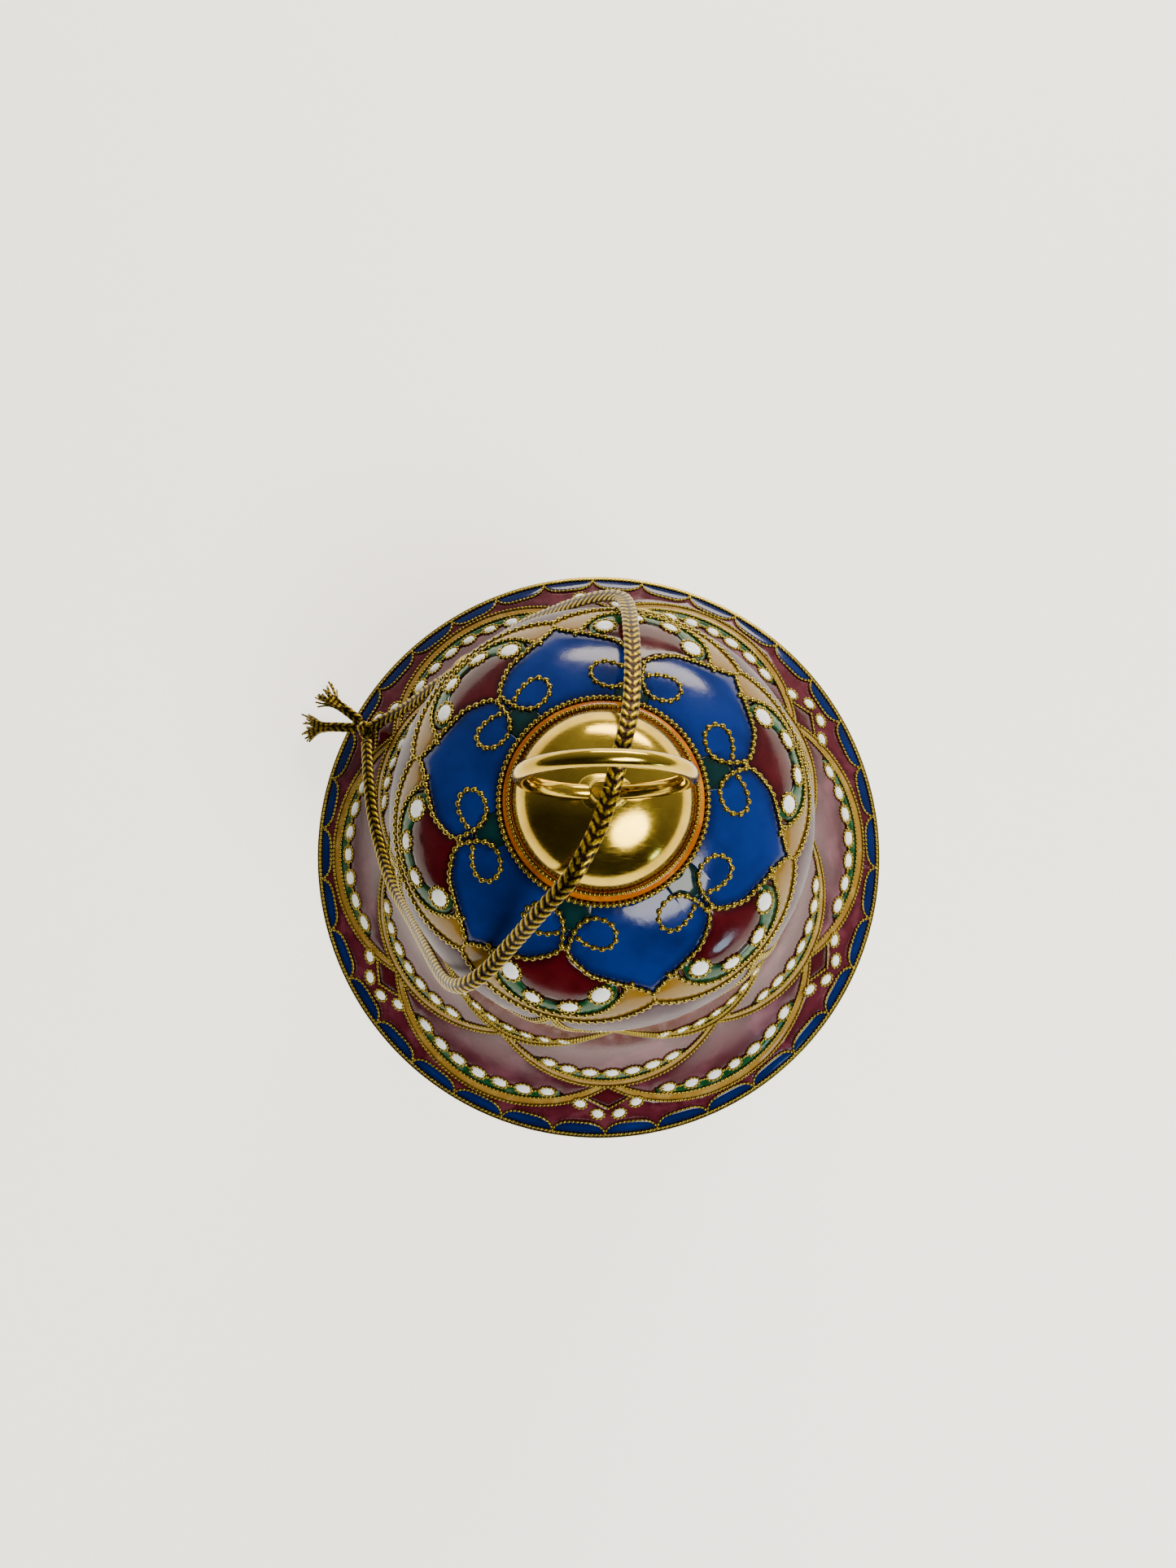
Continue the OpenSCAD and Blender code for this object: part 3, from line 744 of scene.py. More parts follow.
def material(key):
    """One of the ornament's materials, made when it is first asked for."""
    if key in _made:
        return _made[key]
    c = bpy.context.scene.bell_colours
    # The second colour given to each enamel is its tone by the wires: partly pooled glass, partly painted
    # shade
    recipes = {
        # Transparent cobalt over a white flux: light in the middle of a field, inky by the wires, where the
        # ink is partly pooled glass and partly painted shade
        "cobalt": lambda: enamel("cobalt_vitreous_enamel", c.cobalt, c.cobalt_deep, cloud_mm=4.0),
        # Gold-ruby red, which burns almost black where it is thick; its near-black by the wires is partly
        # that pooling and partly painted shade
        "red": lambda: enamel("ruby_vitreous_enamel", c.red, "#180103"),
        # Opaque rose, milky where it is thin, with a duller flame gloss
        "rose": lambda: enamel("rose_vitreous_enamel", c.rose, "#3A0C16", cloud="#683444", cloud_mm=5.0,
                               gloss=(0.14, 0.28), far=2.6),
        # Greyed lilac on the steep waist, ground matt and left unglazed: soft, with no hard highlight
        "lilac": lambda: enamel("lilac_vitreous_enamel", c.lilac, "#45222C", cloud="#524048", cloud_mm=4.0,
                                gloss=(0.4, 0.55)),
        # Maroon along the rim, cloudy where it ran thin over the flux
        "maroon": lambda: enamel("maroon_vitreous_enamel", c.maroon, "#380A14", cloud="#602A36"),
        # Transparent garnet in the small marks: deep, with little cloud
        "garnet": lambda: enamel("garnet_vitreous_enamel", "#440A14", "#2C060C"),
        # Copper green with pale drifts of tin white
        "green": lambda: enamel("green_vitreous_enamel", c.green, "#06240F", cloud=c.sage,
                                cloud_mm=2.2, far=0.4),
        # Opaque ochre, evenly coloured
        "ochre": lambda: enamel("ochre_opaque_enamel", c.ochre, "#745418", cloud="#A68A48", far=0.3),
        # Opaque tan that runs to orange at the ends of the crown's bands
        "tan": lambda: enamel("tan_opaque_enamel", "#866A30", "#5C4216", end=c.orange, far=0.3),
        # Transparent teal between the scrolls, nearly black in so small a field, where the dark tone by the
        # wires, partly pooled glass and partly painted shade, covers most of it
        "teal": lambda: enamel("teal_vitreous_enamel", c.teal, "#03181A"),
        # Opaque tin white, fired last and highest
        "white": lambda: enamel("white_opaque_enamel", c.white, c.white, cloud="#E8EEF0",
                                gloss=(0.05, 0.14)),
        # Transparent amber over brass: glows, and darkens in the corner
        "amber": lambda: enamel("amber_transparent_enamel", c.amber, "#7A3A00", cloud="#C88010", far=0.3),
        # Gilt copper wire, twisted and rolled: bright crests, tarnish in the hollows
        "gilt": lambda: metal("gilt_twisted_wire", c.gilt, "#402C06", (0.18, 0.36), 1.6, shade=0.6),
        # Polished spun brass under a worn lacquer
        "brass": lambda: metal("polished_spun_brass", c.brass, "#8C6818", (0.1, 0.24), 4.0, 0.25,
                               0.012, 0.75),
        # Lathe-turned brass, never polished: softer gloss and browner patches
        "turned": lambda: metal("turned_brass", c.brass, "#8C6A30", (0.2, 0.38), 3.0, 0.4),
        # Spun copper, pickled and browned by the kiln
        "copper": lambda: metal("fired_copper", c.copper, "#6A3420", (0.3, 0.5), 4.0, 0.4, 0.02),
        # Metallised polyester film over a brown core, braided flat: glitters on the ridges, with painted
        # shade in the grooves between them
        "cord": lambda: braid_material("metallised_polyester_braid", c.cord, "#1E0E00"),
    }
    _made[key] = recipes[key]()
    return _made[key]


# ---------------------------------------------------------------- the cord

# The cord's route in mm: from the knot up the back, through the ring, and down the front
BACK = [
    (-25.4, 13.3, 3.9), (-23.5, 14.1, 5), (-21, 15, 7), (-18, 16.4, 10), (-15, 17.5, 13),
    (-11.5, 18.7, 18), (-7.7, 19.3, 24), (-4.5, 19.4, 28.5), (-2, 19.3, 32), (0.3, 18.9, 35),
    (1.7, 18, 37.3), (2.1, 16.2, 40), (2.2, 13.5, 43.3), (2.2, 10, 46.2), (1.9, 6, 48.6),
    (1.2, 2.8, 49.9), (0.5, 0, 49.6),
]
FRONT = [
    (0.5, 0, 49.6), (-0.4, -2.6, 50), (-1.4, -4.7, 50.3), (-2.6, -6.6, 49.6), (-4.9, -8.9, 46.8),
    (-7, -11, 43.5), (-8.7, -12.7, 41.1), (-10.2, -13.8, 39.3), (-11.8, -14.3, 37),
    (-13.4, -13.7, 33.5), (-15.8, -11.2, 27), (-18, -8.8, 20.5), (-19.9, -6.7, 15.5),
    (-21.7, -4, 12.2), (-23.1, -0.8, 9.9), (-24.3, 3, 8.2), (-25, 6.5, 7), (-25.5, 9.5, 5.6),
    (-25.8, 11.5, 4.6),
]
KNOT = (-26.1, 13.1, 3.3)
TAIL_LONG = [(-27, 13.3, 3.1), (-29.5, 13.5, 2.7), (-31.6, 13.6, 2.2), (-33.6, 13.7, 1.8)]
TAIL_SHORT = [(-26.8, 14, 3.2), (-28.3, 15.2, 3), (-29.8, 16.3, 2.6), (-31.2, 17.3, 2.2)]


def evenly(line, step):
    """Points an even step apart along a line, and how far along it each lies."""
    gaps = np.linalg.norm(np.diff(line, axis=0), axis=1)
    s = np.concatenate([[0], np.cumsum(gaps)])
    count = max(2, int(round(s[-1] / step)) + 1)
    at = np.linspace(0, s[-1], count)
    return np.stack([np.interp(at, s, line[:, k]) for k in range(3)], -1), at


def braid(parts, line, width, thickness, pitch, sides=24, closed=False, seats=None):
    """A flat braid along a line: chevron ridges over an oval section, its flat side up and out."""
    p, s = evenly(np.asarray(line, float), pitch / 8)
    n = len(p)
    if closed:
        tangent = np.roll(p, -1, 0) - np.roll(p, 1, 0)
    else:
        tangent = np.gradient(p, axis=0)
    tangent /= np.linalg.norm(tangent, axis=1)[:, None]
    out = p - (np.array((0, 0, 24.0)) if seats is None else np.asarray(seats, float))
    if seats is None:
        out = out / np.linalg.norm(out, axis=1)[:, None] * 0.35 + np.array((0, 0, 1.0))
    out -= (out * tangent).sum(1)[:, None] * tangent
    out /= np.linalg.norm(out, axis=1)[:, None]
    if seats is None:
        for _ in range(12):
            out[1:-1] = (out[:-2] + out[1:-1] * 2 + out[2:]) / 4
        out -= (out * tangent).sum(1)[:, None] * tangent
        out /= np.linalg.norm(out, axis=1)[:, None]
    side = np.cross(tangent, out)
    a = np.linspace(0, 2 * math.pi, sides, endpoint=False)
    x, y = np.cos(a), np.sin(a)
    x, y = np.sign(x) * np.abs(x) ** 0.85, np.sign(y) * np.abs(y) ** 0.85
    phase = s[:, None] / pitch + np.abs(x)[None] * 0.9 * np.sign(y + 1e-9)[None]
    ridge = np.abs(np.sin(math.pi * phase)) ** 1.2 * (1 - 0.6 * np.exp(-(x / 0.16) ** 2))[None]
    swell = 1 - 0.3 * (1 - ridge)
    verts = (p[:, None] + side[:, None] * (x * width / 2 * (0.94 + 0.06 * ridge))[..., None]
             + out[:, None] * (y * thickness / 2 * swell)[..., None]).reshape(-1, 3)
    faces = []
    for i in range(n if closed else n - 1):
        j = (i + 1) % n
        for k in range(sides):
            m = (k + 1) % sides
            faces.append((i * sides + k, i * sides + m, j * sides + m, j * sides + k))
    if not closed:
        faces.append(tuple(range(sides))[::-1])
        faces.append(tuple((n - 1) * sides + k for k in range(sides)))
    parts.take(verts, faces)
    parts.ridges = getattr(parts, "ridges", []) + [ridge.ravel()]
    return p


def strands(parts, start, heading, count, reach, spread, rng, droop, thickness=0.16):
    """Loose yarns that leave a cut end and part from each other."""
    heading = np.array(heading, float) / np.linalg.norm(heading)
    side = np.cross(heading, (0, 0, 1.0))
    side /= np.linalg.norm(side)
    upward = np.cross(side, heading)
    for _ in range(count):
        a, b = rng.uniform(-1, 1), rng.uniform(-0.6, 0.8)
        long = reach * rng.uniform(0.7, 1.1)
        points = []
        for t in np.linspace(0, 1, 5):
            way = heading * long * t + side * (a * (0.42 + spread * t * t)) + upward * (b * (0.2 + 0.4 * t))
            wave = side * 0.14 * math.sin(7 * t + 9 * a) + upward * 0.1 * math.cos(6 * t + 5 * b)
            points.append(np.array(start) + way + wave * t - np.array((0, 0, droop * t * t)))
        braid(parts, smooth_line(points, 5), thickness * rng.uniform(1, 1.5), thickness, 0.6, 6,
              seats=(0, 0, 60.0))


# ---------------------------------------------------------------- operators


class BELL_OT_camera(bpy.types.Operator):
    """Camera above the bell, a little in front of its axis"""

    bl_idname = "bell.camera"
    bl_label = "Camera"

    def execute(self, context):
        view = bpy.data.cameras.new("camera")
        view.sensor_fit, view.sensor_width, view.lens = "AUTO", 36, 27.03
        view.clip_start, view.clip_end = 0.005, 5
        camera = bpy.data.objects.new("camera", view)
        camera.location = (-1.2 * MM, -11.4 * MM, 133.6 * MM)
        camera.rotation_euler = (math.radians(8), 0, 0)
        context.scene.collection.objects.link(camera)
        context.scene.camera = camera
        return {"FINISHED"}


class BELL_OT_cord(bpy.types.Operator):
    """Braided cord: a loop through the ring, its knot and two frayed tails"""

    bl_idname = "bell.cord"
    bl_label = "Cord"

    def execute(self, context):
        s = context.scene.bell_sizes
        width, thick, pitch = s.cord_width / MM, s.cord_thickness / MM, s.braid_pitch / MM
        for name, route, node in (("cord_back", BACK, "cord_strand_back"),
                                  ("cord_front", FRONT, "cord_strand_front")):
            parts = Parts()
            braid(parts, smooth_line(route, 6), width, thick, pitch)
            self.strand(parts, name, node)
        parts = Parts()
        t = np.linspace(0, 2 * math.pi, 60, endpoint=False)
        trefoil = np.stack([np.sin(t) + 2 * np.sin(2 * t), np.cos(t) - 2 * np.cos(2 * t),
                            -1.4 * np.sin(3 * t)], -1) * 0.3
        lie = np.array(Matrix.Rotation(math.radians(35), 3, (1, 1, 0)))
        knot = np.vstack([trefoil, trefoil[:1]]) @ lie.T + np.array(KNOT)
        braid(parts, knot[:-1], 0.85, 0.6, pitch, 14, closed=True, seats=KNOT)
        self.strand(parts, "knot", "cord_knot")
        rng = random.Random(5)
        for name, route, node in (("tail_long", TAIL_LONG, "cord_tail_long"),
                                  ("tail_short", TAIL_SHORT, "cord_tail_short")):
            parts = Parts()
            line = smooth_line(route, 6)
            cut = int(len(line) * 0.55)
            braid(parts, line[:cut], width * 0.86, thick * 0.9, pitch, 20)
            strands(parts, line[cut - 2], line[cut - 1] - line[cut - 4], 34, 3.5, 1.1, rng, 0.5)
            self.strand(parts, name, node)
        pieces = [bpy.data.objects[n] for n in ("knot", "tail_long", "tail_short")]
        for name, going in (("cord_back", pieces), ("cord_front", ())):
            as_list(going)
        return {"FINISHED"}

    def strand(self, parts, name, node):
        facts = {"ridge": np.concatenate(parts.ridges)}
        return piece(name, np.vstack(parts.verts), parts.faces, material("cord"), "bell", "gold_cord",
                     facts=facts, replaces=(node,))


class BELL_OT_body(bpy.types.Operator):
    """Copper bell, the enamel inside it and the band that closes its lip"""

    bl_idname = "bell.body"
    bl_label = "Copper and counter enamel"

    def execute(self, context):
        s = context.scene.bell_sizes
        o = Outline(s)
        copper, under = s.enamel_depth / MM, (s.enamel_depth + s.copper_depth) / MM
        inside = under + s.counter_depth / MM
        band_high = corners("rim_band")[1].z
        foot = o.at_height(band_high)
        for name, outer, inner, look, slot, node in (
                ("copper_body", copper, under, "copper", "copper", "bell_shell"),
                ("counter_enamel_inside", under, inside, "cobalt", "blue_enamel", "counter_enamel")):
            up = o.lathe_points(foot, o.top, outer, 90)
            down = o.lathe_points(foot, o.top, inner, 90)[::-1]
            profile = up + [(STUD_HOLE, up[-1][1]), (STUD_HOLE, down[0][1])] + down
            turned(name, profile, 128, material(look), slot, node, edge=0.45)
        in_r = o.lathe_points(foot, foot, inside, 2)[0][0]
        band = [(in_r, 0.0), (o.rim, 0.0), (o.radius(foot) + 0.02, band_high), (in_r, band_high)]
        turned("lip_band", rounded(band, 0.14), 256, material("gilt"), "gilt_brass", "rim_band")
        return {"FINISHED"}


def petal_edge():
    """The lower edge of the petals, by degrees from a stem."""
    return along([(0, 50.05), (3, 49.05), (7.5, 48.25), (11, 47.65), (16, 47.25), (23, 46.5),
                  (27.5, 45.8), (30, 45.1)])


CROWN_BAND = [(0, 42.75), (8, 43.0), (13, 43.5), (17, 44.3), (20, 45.4), (22.5, 46.4), (24.5, 46.75)]
CROWN_GREEN = [(0, 44.1), (5, 44.2), (10, 45.1), (13, 46.2), (16, 46.8), (18, 47.1), (19.5, 46.9)]
SCROLL = [(1.3, 49.9), (1.9, 50.9), (3.1, 51.6), (5.3, 52.2), (9.4, 52.6), (14, 52.55), (18.2, 52.2),
          (20.3, 51.5), (20.0, 50.8), (17.5, 50.25), (14, 50.1), (10.5, 50.25), (7.2, 50.5), (4.6, 50.8)]


class BELL_OT_enamel(bpy.types.Operator):
    """Enamel fields of the scales, the petals and the rim"""

    bl_idname = "bell.enamel"
    bl_label = "Enamel fields"

    def execute(self, context):
        s = context.scene.bell_sizes
        o = Outline(s)
        rise = s.cell_rise / MM
        rows = rows_of_scales(o)
        d = np.linspace(-HALF, HALF, 61)
        for row, above in zip(rows[:-1], rows[1:]):
            band, crescent, field = Parts(), Parts(), Parts()
            for k in range(SCALES):
                turn = row.turn + k * SECTOR + d
                top = above.edge(turn)
                low = np.minimum(row.edge(turn), top)
                mid = np.minimum(row.band_edge(turn), top)
                reach = np.abs(d) < CRESCENT_END
                chain = np.where(reach, np.minimum(row.chain_line(turn), top), mid)
                chain = np.maximum(chain, mid)
                cell(band, o, turn, low, mid, 4, rise, t=d / HALF)
                cell(crescent, o, turn, mid, chain, 4, rise, t=d / HALF)
                cell(field, o, turn, chain, top, 14, rise, t=d / HALF)
            slot = row.field + "_enamel"
            field.build(row.name + "_field", material(row.field), slot=slot,
                        replaces=("enamel_" + row.name + "_scales",))
            band.build(row.name + "_band", material("ochre"))
            crescent.build(row.name + "_crescent", material("green"))
        self.crown(o, rows[-1], rise)
        self.rim(o, rows[0], s.tongues, rise)
        return {"FINISHED"}

    def crown(self, o, row, rise):
        """The crown's scales, the petals and the teal fields between the scrolls."""
        edge, band, green = petal_edge(), along(CROWN_BAND), along(CROWN_GREEN)
        tan, leaf, red, blue, teal = Parts(), Parts(), Parts(), Parts(), Parts()
        d = np.linspace(-HALF, HALF, 97)
        near = np.linspace(-9, 9, 25)
        stem = along([(0, 51.0), (1.9, 51.1), (3.1, 51.65), (5.3, 52.25), (9.4, 52.65)])
        for k in range(SCALES):
            turn = row.turn + k * SECTOR + d
            low, top = row.edge(turn), edge(d)
            in_band = np.where(np.abs(d) < 24.5, np.minimum(band(d), top), top)
            in_green = np.where(np.abs(d) < CRESCENT_END, np.clip(green(d), in_band, top), in_band)
            cell(tan, o, turn, low, in_band, 6, rise, t=d / HALF)
            cell(leaf, o, turn, in_band, in_green, 4, rise, t=d / HALF)
            cell(red, o, turn, in_green, top, 8, rise, t=d / HALF)
            lid = np.full(d.shape, o.top)
            turn_about = row.turn + (k + 0.5) * SECTOR + d
            from_stem = HALF - np.abs(d)
            petal_roof = np.where(from_stem < 9.2, np.minimum(stem(from_stem), lid), lid)
            cell(blue, o, turn_about, edge(from_stem), petal_roof, 16, rise, t=d / HALF)
            at = row.turn + k * SECTOR + near
            cell(teal, o, at, stem(near), np.full(near.shape, o.top), 5, rise, t=near / 9)
        tan.build("crown_band", material("tan"))
        leaf.build("crown_crescent", material("green"))
        red.build("crown_field", material("red"), slot="red_enamel", replaces=("enamel_crown_scales",))
        blue.build("petals", material("cobalt"), slot="blue_enamel", replaces=("enamel_petals",))
        teal.build("scroll_fields", material("teal"))

    def rim(self, o, row, count, rise):
        """The tongues, the ground above them and the garnet marks."""
        foot = o.at_height(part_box("rim_band")[1].z / MM)
        tongues, ground, marks = Parts(), Parts(), Parts()
        pitch = 360 / count
        t = np.linspace(-1, 1, 17)
        for k in range(count):
            turn = TONGUE_TURN + k * pitch + t * pitch / 2
            top = tongue_top(foot, t)
            cell(tongues, o, turn, np.full(t.shape, foot), top, 4, rise, t=t)
        fine = np.linspace(-1, 1, 17)[:-1]
        around = np.concatenate([TONGUE_TURN + k * pitch + fine * pitch / 2 for k in range(count)])
        around = np.append(around, around[0] + 360)
        low = tongue_top(foot, ((around - TONGUE_TURN) / pitch + 0.5) % 1 * 2 - 1)
        high = np.minimum(row.edge(around), mark_edge(row, around))
        cell(ground, o, around, low, high, 6, rise, ends=False)
        d = np.linspace(-MARK_HALF, MARK_HALF, 21)
        for k in range(SCALES):
            turn = row.turn + HALF + k * SECTOR + d
            cell(marks, o, turn, mark_edge(row, turn), row.edge(turn), 6, rise, t=d / MARK_HALF)
        tongues.build("tongues", material("cobalt"), slot="blue_enamel")
        ground.build("rim_ground", material("maroon"), slot="maroon_enamel", replaces=("enamel_rim",))
        marks.build("rim_marks", material("garnet"), slot="red_enamel")


def tongue_top(foot, t):
    """The upper edge of a tongue, from one side to the other."""
    return foot + 0.12 + 1.45 * (1 - np.abs(t) ** 3.2) ** 0.62


def mark_edge(row, turn):
    """The lower edge of the garnet marks, which hang where two skirt scales meet."""
    off = np.abs(off_centre(turn, row.turn + HALF))
    return np.where(off < MARK_HALF, row.high - 3.2 + 1.55 * off / MARK_HALF, 1e3)


class BELL_OT_pearls(bpy.types.Operator):
    """White pearls in the scales and in fours below the skirt"""

    bl_idname = "bell.pearls"
    bl_label = "Pearls"

    def execute(self, context):
        o = Outline(context.scene.bell_sizes)
        tree = pearl_tree()
        for name, places in pearl_places(o).items():
            turn, v, long, wide, lean = (np.array(c) for c in zip(*places))
            ups = o.up(v, turn)
            a = np.radians(turn)
            flat = np.stack([-np.sin(a), np.cos(a), np.zeros_like(a)], -1)
            climb = np.cross(ups, flat)
            way = flat * np.cos(lean)[:, None] + climb * np.sin(lean)[:, None]
            size = np.stack([long, wide, np.full(len(long), 0.5)], -1) * MM
            grown("pearls_" + name + "_white", o.point(v, turn), [],
                  {"up": ups, "level": way, "size": size}, tree, {"Segments": 18},
                  material("white"), "white_enamel", ("pearls_" + name,))
        return {"FINISHED"}


def pearl_places(o):
    """Every pearl of each row: its turn, height, length, width and lean."""
    rng = random.Random(11)
    places = {}
    rows = rows_of_scales(o)
    for row in rows[:-1]:
        long, wide = row.pearl
        found = []
        for k in range(SCALES):
            for j in range(7):
                d = (j - 3) * 16 / 3
                turn = row.turn + k * SECTOR + d
                lean = math.atan2(2 * row.chain_rise * d / 256, float(o.radius(row.low)) * math.pi / 180)
                found.append((turn + rng.uniform(-0.15, 0.15), float(row.chain_line(turn)),
                              long * rng.uniform(0.88, 1.05), wide * rng.uniform(0.88, 1.06),
                              lean + rng.uniform(-0.09, 0.09)))
        places[row.name] = found
    crown = rows[-1]
    places["crown"] = [
        (crown.turn + k * SECTOR + side * d, v,
         long * rng.uniform(0.93, 1.05), wide * rng.uniform(0.93, 1.05), side * lean)
        for k in range(SCALES) for side in (-1, 1)
        for d, v, long, wide, lean in ((5.4, 44.0, 1.5, 1.15, 0.35), (14.3, 45.75, 1.75, 1.55, 0.9))]
    skirt = rows[0]
    places["marks"] = [
        (skirt.turn + HALF + k * SECTOR + side * d, v, 1.4 * rng.uniform(0.93, 1.05), 1.1, side * 0.5)
        for k in range(SCALES) for side in (-1, 1) for d, v in ((6.3, 4.7), (2.3, 3.35))]
    return places


class BELL_OT_wires(bpy.types.Operator):
    """Twisted gilt wires that part the enamels"""

    bl_idname = "bell.wires"
    bl_label = "Twisted wires"

    def execute(self, context):
        s = context.scene.bell_sizes
        o = Outline(s)
        tree = twisted_wire_tree()
        rows = rows_of_scales(o)
        pitch, width = s.twist_pitch, s.wire_width
        fine = s.fine_wire_width
        d = np.linspace(-HALF, HALF, 121)
        places = pearl_places(o)
        for row, above in zip(rows[:-1], rows[1:]):
            lines = Lines(o)
            for k in range(SCALES):
                turn = row.turn + k * SECTOR + d
                lines.take(turn, row.edge(turn))
                room = above.edge(turn) - row.band_edge(turn) > 0.1
                lines.take(turn[room], row.band_edge(turn)[room])
                strung = np.abs(d) < STRING_END
                lines.take(turn[strung], row.chain_line(turn)[strung])
            broad = 1.0 if row.name in ("waist", "upper", "lower") else 0.76
            lines.build("wire_" + row.name, tree, pitch * 0.68, width * broad,
                        ("wire_" + row.name + "_scales",))
        self.crown(o, rows[-1], tree, pitch, width)
        for name, found in places.items():
            loops = Lines(o, 0.05)
            for turn, v, long, wide, lean in found:
                a = np.linspace(0, 2 * math.pi, 25)[:-1]
                x, y = (long / 2 + 0.1) * np.cos(a), (wide / 2 + 0.1) * np.sin(a)
                across = x * math.cos(lean) - y * math.sin(lean)
                climb = x * math.sin(lean) + y * math.cos(lean)
                per = float(o.radius(v)) * math.pi / 180
                loops.take(turn + across / per, v + climb, closed=True)
            loops.build("wire_round_" + name, tree, fine * (1.6 if name == "crown" else 1.25), fine)
        self.rim(o, rows[0], tree, pitch, width, s.tongues)
        return {"FINISHED"}

    def crown(self, o, row, tree, pitch, width):
        """The wires of the crown's scales, the petals and the scrolls."""
        scales, petals, scrolls = Lines(o), Lines(o), Lines(o)
        d = np.linspace(-HALF, HALF, 121)
        edge, band = petal_edge(), along(CROWN_BAND)
        for k in range(SCALES):
            centre = row.turn + k * SECTOR
            scales.take(centre + d, row.edge(centre + d))
            inner = d[np.abs(d) < 24.4]
            scales.take(centre + inner, band(inner))
            petals.take(centre + d, edge(d))
            joint = np.linspace(float(row.high), float(edge(HALF)), 5)
            petals.take(np.full(5, centre + HALF), joint)
            for side in (-1, 1):
                curl = smooth_line(SCROLL, 6)
                scrolls.take(centre + side * curl[:, 0], curl[:, 1])
        scales.build("wire_crown", tree, pitch, width, ("wire_crown_scales",))
        petals.build("wire_petal_edges", tree, pitch, width, ("wire_petals",))
        scrolls.build("wire_scroll_pairs", tree, pitch, width * 1.05, ("wire_scrolls",))

    def rim(self, o, row, tree, pitch, width, count):
        """The wires of the tongues, of the garnet marks and of the lip."""
        foot = o.at_height(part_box("rim_band")[1].z / MM)
        lines = Lines(o)
        t = np.linspace(-1, 1, 33)
        for k in range(count):
            turn = TONGUE_TURN + k * 360 / count + t * 180 / count
            lines.take(turn, tongue_top(foot, t))
        for k in range(SCALES):
            d = np.linspace(-5.1, 5.1, 21)
            turn = row.turn + HALF + k * SECTOR + d
            lines.take(turn, mark_edge(row, turn))
        round_turn = np.linspace(0, 360, 721)[:-1]
        lines.take(round_turn, np.full(720, foot), closed=True)
        lines.build("wire_rim", tree, pitch * 0.7, width * 0.72, ("wire_rim_tongues",))


class BELL_OT_collar(bpy.types.Operator):
    """Amber collar between two rings of twisted wire"""

    bl_idname = "bell.collar"
    bl_label = "Collar"

    def execute(self, context):
        s = context.scene.bell_sizes
        seat, top = corners("collar_ring"), corners("collar_enamel")[1].z
        out_r, base, mid = seat[1].x, seat[0].z, seat[1].z
        in_r = corners("cap_dome")[1].x + 0.05
        square = [(in_r, base), (out_r, base), (out_r, mid), (in_r, mid)]
        turned("collar_seat", rounded(square, 0.06), 128, material("turned"), "gilt_brass", "collar_ring")
        bulge = [(in_r, mid), (out_r, mid), (out_r - 0.03, mid + 0.18), (out_r - 0.28, top - 0.08),
                 (out_r - 0.5, top), (in_r, top)]
        turned("amber_collar", rounded(bulge, 0.1), 128, material("amber"), "amber_enamel",
               "collar_enamel", edge=0.25)
        tree = twisted_wire_tree()
        for name, node, pitch in (("wire_collar_below", "wire_collar_lower", 0.5),
                                  ("wire_collar_above", "wire_collar_upper", 0.36)):
            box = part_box(node)
            radius, height = box[1].x / MM - 0.25, (box[0].z + box[1].z) / 2 / MM
            a = np.linspace(0, 2 * math.pi, 360, endpoint=False)
            points = np.stack([radius * np.cos(a), radius * np.sin(a), np.full(360, height)], -1)
            ups = np.stack([np.cos(a) * 0.6, np.sin(a) * 0.6, np.full(360, 0.8)], -1)
            edges = [(i, (i + 1) % 360) for i in range(360)]
            width = s.wire_width * (1.15 if pitch > 0.4 else 0.8)
            grown(name, points, edges, {"up": ups}, tree, {"Pitch": pitch * MM, "Width": width},
                  material("gilt"), "gilt_wire", (node,))
        return {"FINISHED"}


class BELL_OT_cap(bpy.types.Operator):
    """Polished brass cap with its hanging ring"""

    bl_idname = "bell.cap"
    bl_label = "Cap and ring"

    def execute(self, context):
        low, high = corners("cap_dome")
        r, base, apex = high.x, low.z, high.z
        foot, wall = 1.0, 0.6
        dome = apex - base - foot
        a = np.linspace(0, math.pi / 2, 40)
        outer = [(r * math.cos(x), base + foot + dome * math.sin(x)) for x in a[:-1]] + [(0, apex)]
        inner = [((r - wall) * math.cos(x), base + foot + (dome - wall) * math.sin(x)) for x in a[:-1]]
        inner = [(0, apex - wall)] + inner[::-1]
        lip = rounded([(r - wall, base), (r, base), (r, base + foot)], 0.12, closed=False)
        profile = list(map(tuple, lip)) + outer[1:] + inner + [(r - wall, base + 0.02)]
        turned("brass_cap", profile, 160, material("brass"), "polished_brass", "cap_dome")
        wire = 0.6
        mid = corners("hanging_ring")[1].x - wire
        # The ring leans back a little, as it was soldered
        lean = -3.5
        parts = Parts()
        parts.take(*turned_ring(mid, wire, 128, 28, "Y", (0, 0, apex + mid - wire / 2), lean, (0, 0, apex)))
        outward(parts.build("ring", material("brass"), slot="polished_brass", replaces=("hanging_ring",)))
        fillet = [(0, apex - 0.35), (1.7, apex - 0.32), (1.5, apex - 0.05), (1.15, apex + 0.14),
                  (0.9, apex + 0.4), (0.8, apex + 0.62), (0, apex + 0.66)]
        verts, faces = lathe(rounded(fillet, 0.25, closed=False), 48, closed=False)
        rng = np.random.default_rng(3)
        wobble = 1 + 0.05 * np.sin(3 * np.arctan2(verts[:, 1], verts[:, 0]) + rng.uniform(0, 6))
        verts[:, 0] *= wobble * 1.25
        verts[:, 1] *= wobble * 0.95
        outward(piece("solder", verts, faces, material("turned"), "bell", "polished_brass",
                      replaces=("ring_solder",)))
        return {"FINISHED"}


